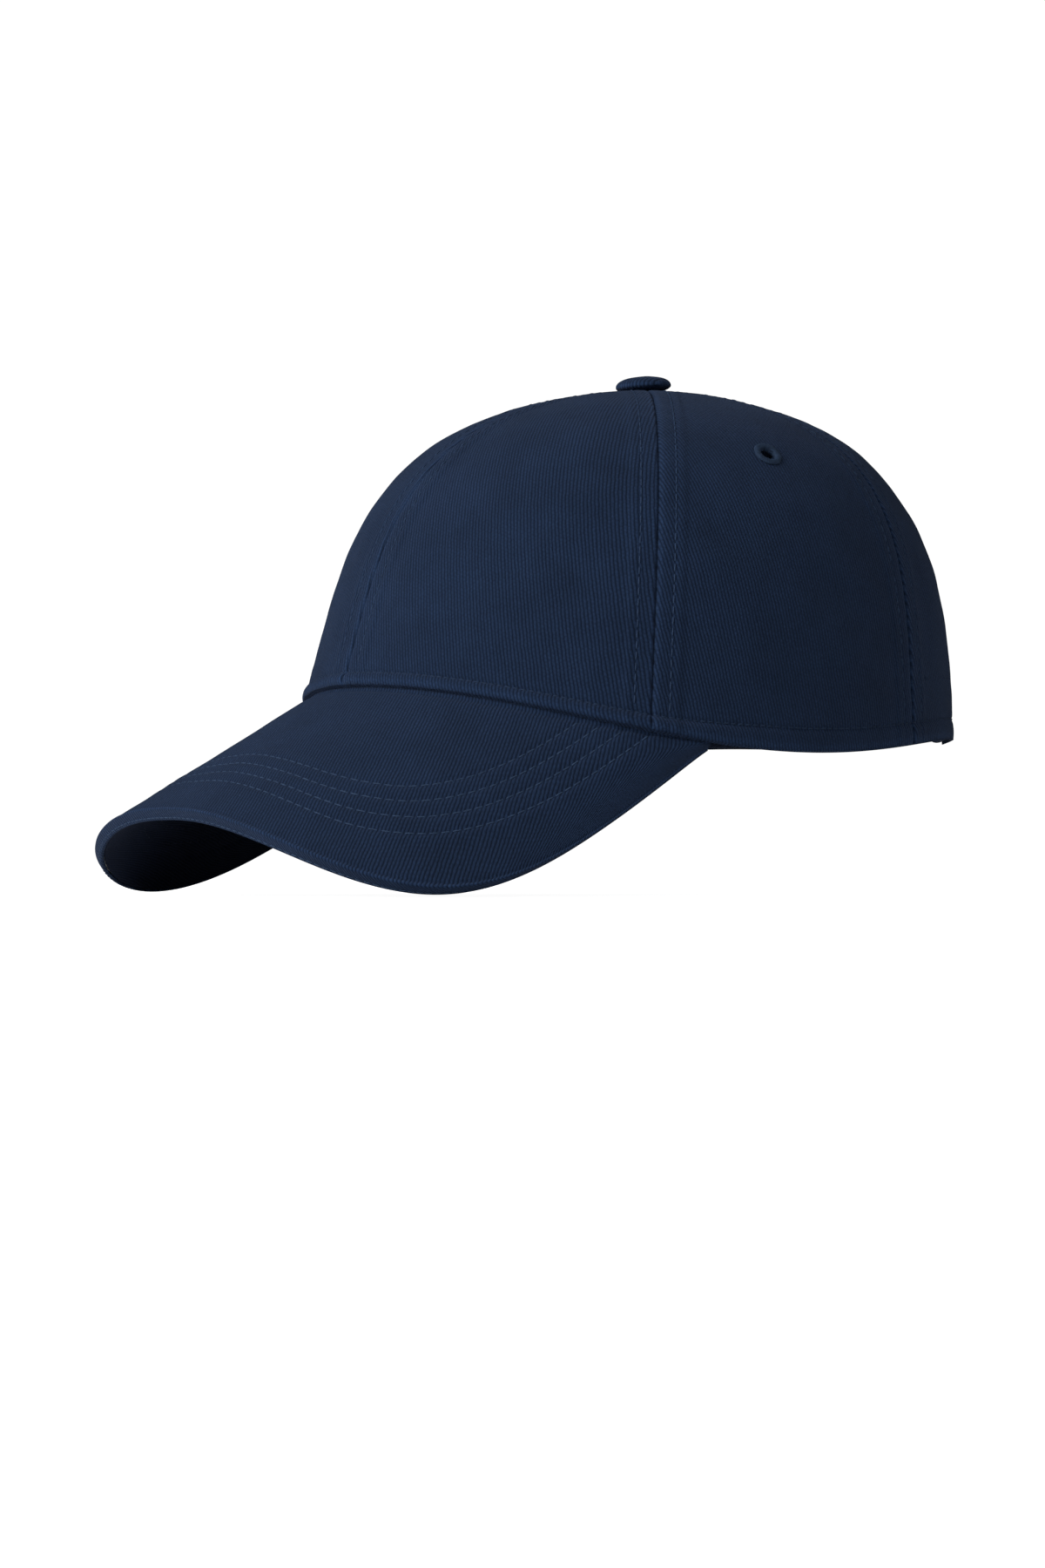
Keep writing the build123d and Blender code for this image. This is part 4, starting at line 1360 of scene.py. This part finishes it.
def make_floor(level):
    """A pale floor just under the brim."""
    mesh = bpy.data.meshes.new("floor")
    reach = 6.0
    corners = [(-reach, -reach, level), (reach, -reach, level), (reach, reach, level), (-reach, reach, level)]
    mesh.from_pydata(corners, [], [(0, 1, 2, 3)])
    material, tree, shader = new_material("pale_floor")
    shader.inputs["Base Color"].default_value = (0.9, 0.9, 0.9, 1)
    shader.inputs["Roughness"].default_value = 0.9
    shader.inputs["Emission Color"].default_value = (1, 1, 1, 1)
    ray = add_node(tree, "LightPath").outputs["Is Camera Ray"]
    tree.links.new(add_math(tree, "MULTIPLY", ray, 0.95), shader.inputs["Emission Strength"])
    mesh.materials.append(material)
    floor = bpy.data.objects.new("floor", mesh)
    bpy.context.scene.collection.objects.link(floor)
    floor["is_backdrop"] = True


def make_light(name, place, aim, size, power, colour=(1, 1, 1)):
    """A soft square light that points at a place."""
    data = bpy.data.lights.new(name, "AREA")
    data.size, data.energy, data.color = size, power, colour
    light = bpy.data.objects.new(name, data)
    light.location = place
    away = light.location - type(light.location)(aim)
    light.rotation_euler = away.to_track_quat("Z", "Y").to_euler()
    bpy.context.scene.collection.objects.link(light)


def make_world(seen, lit):
    """A white surround that is brighter to the eye than as a light."""
    world = bpy.data.worlds.new("surround")
    bpy.context.scene.world = world
    world.use_nodes = True
    tree = world.node_tree
    background = tree.nodes["Background"]
    ray = add_node(tree, "LightPath").outputs["Is Camera Ray"]
    strength = add_node(tree, "MapRange", {0: ray, 1: 0.0, 2: 1.0, 3: lit, 4: seen}).outputs[0]
    background.inputs["Color"].default_value = (1, 1, 1, 1)
    tree.links.new(strength, background.inputs["Strength"])


def make_camera(azimuth, elevation, distance, target, lens):
    """The camera, aimed at a target from a direction round the object."""
    turn, lift = radians(azimuth), radians(elevation)
    data = bpy.data.cameras.new("camera")
    data.lens, data.sensor_width, data.clip_start = lens, 36.0, 0.01
    camera = bpy.data.objects.new("camera", data)
    bpy.context.scene.collection.objects.link(camera)
    vector = type(camera.location)
    back = vector((sin(turn) * cos(lift), -cos(turn) * cos(lift), sin(lift)))
    camera.location = vector(target) + back * distance
    camera.rotation_euler = back.to_track_quat("Z", "Y").to_euler()
    bpy.context.scene.camera = camera


make_floor(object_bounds()[0].z - floor_gap)
make_world(seen=1.05, lit=0.14)
make_light("key", (0.05, -1.35, 0.78), (0, -0.02, 0.03), 0.9, 20.4)
make_light("fill", (1.5, -0.7, 0.45), (0, 0, 0.03), 1.1, 2.4, (0.8, 0.92, 1.0))
make_light("rim_wear_and_highlight", (0.3, 1.4, 0.9), (0, 0, 0.03), 0.8, 1.2)
make_camera(azimuth=54.97, elevation=-1.25, distance=1.150, target=(-0.01806, -0.02687, -0.01481),
            lens=87.97)
bpy.context.scene.view_settings.view_transform = "Standard"
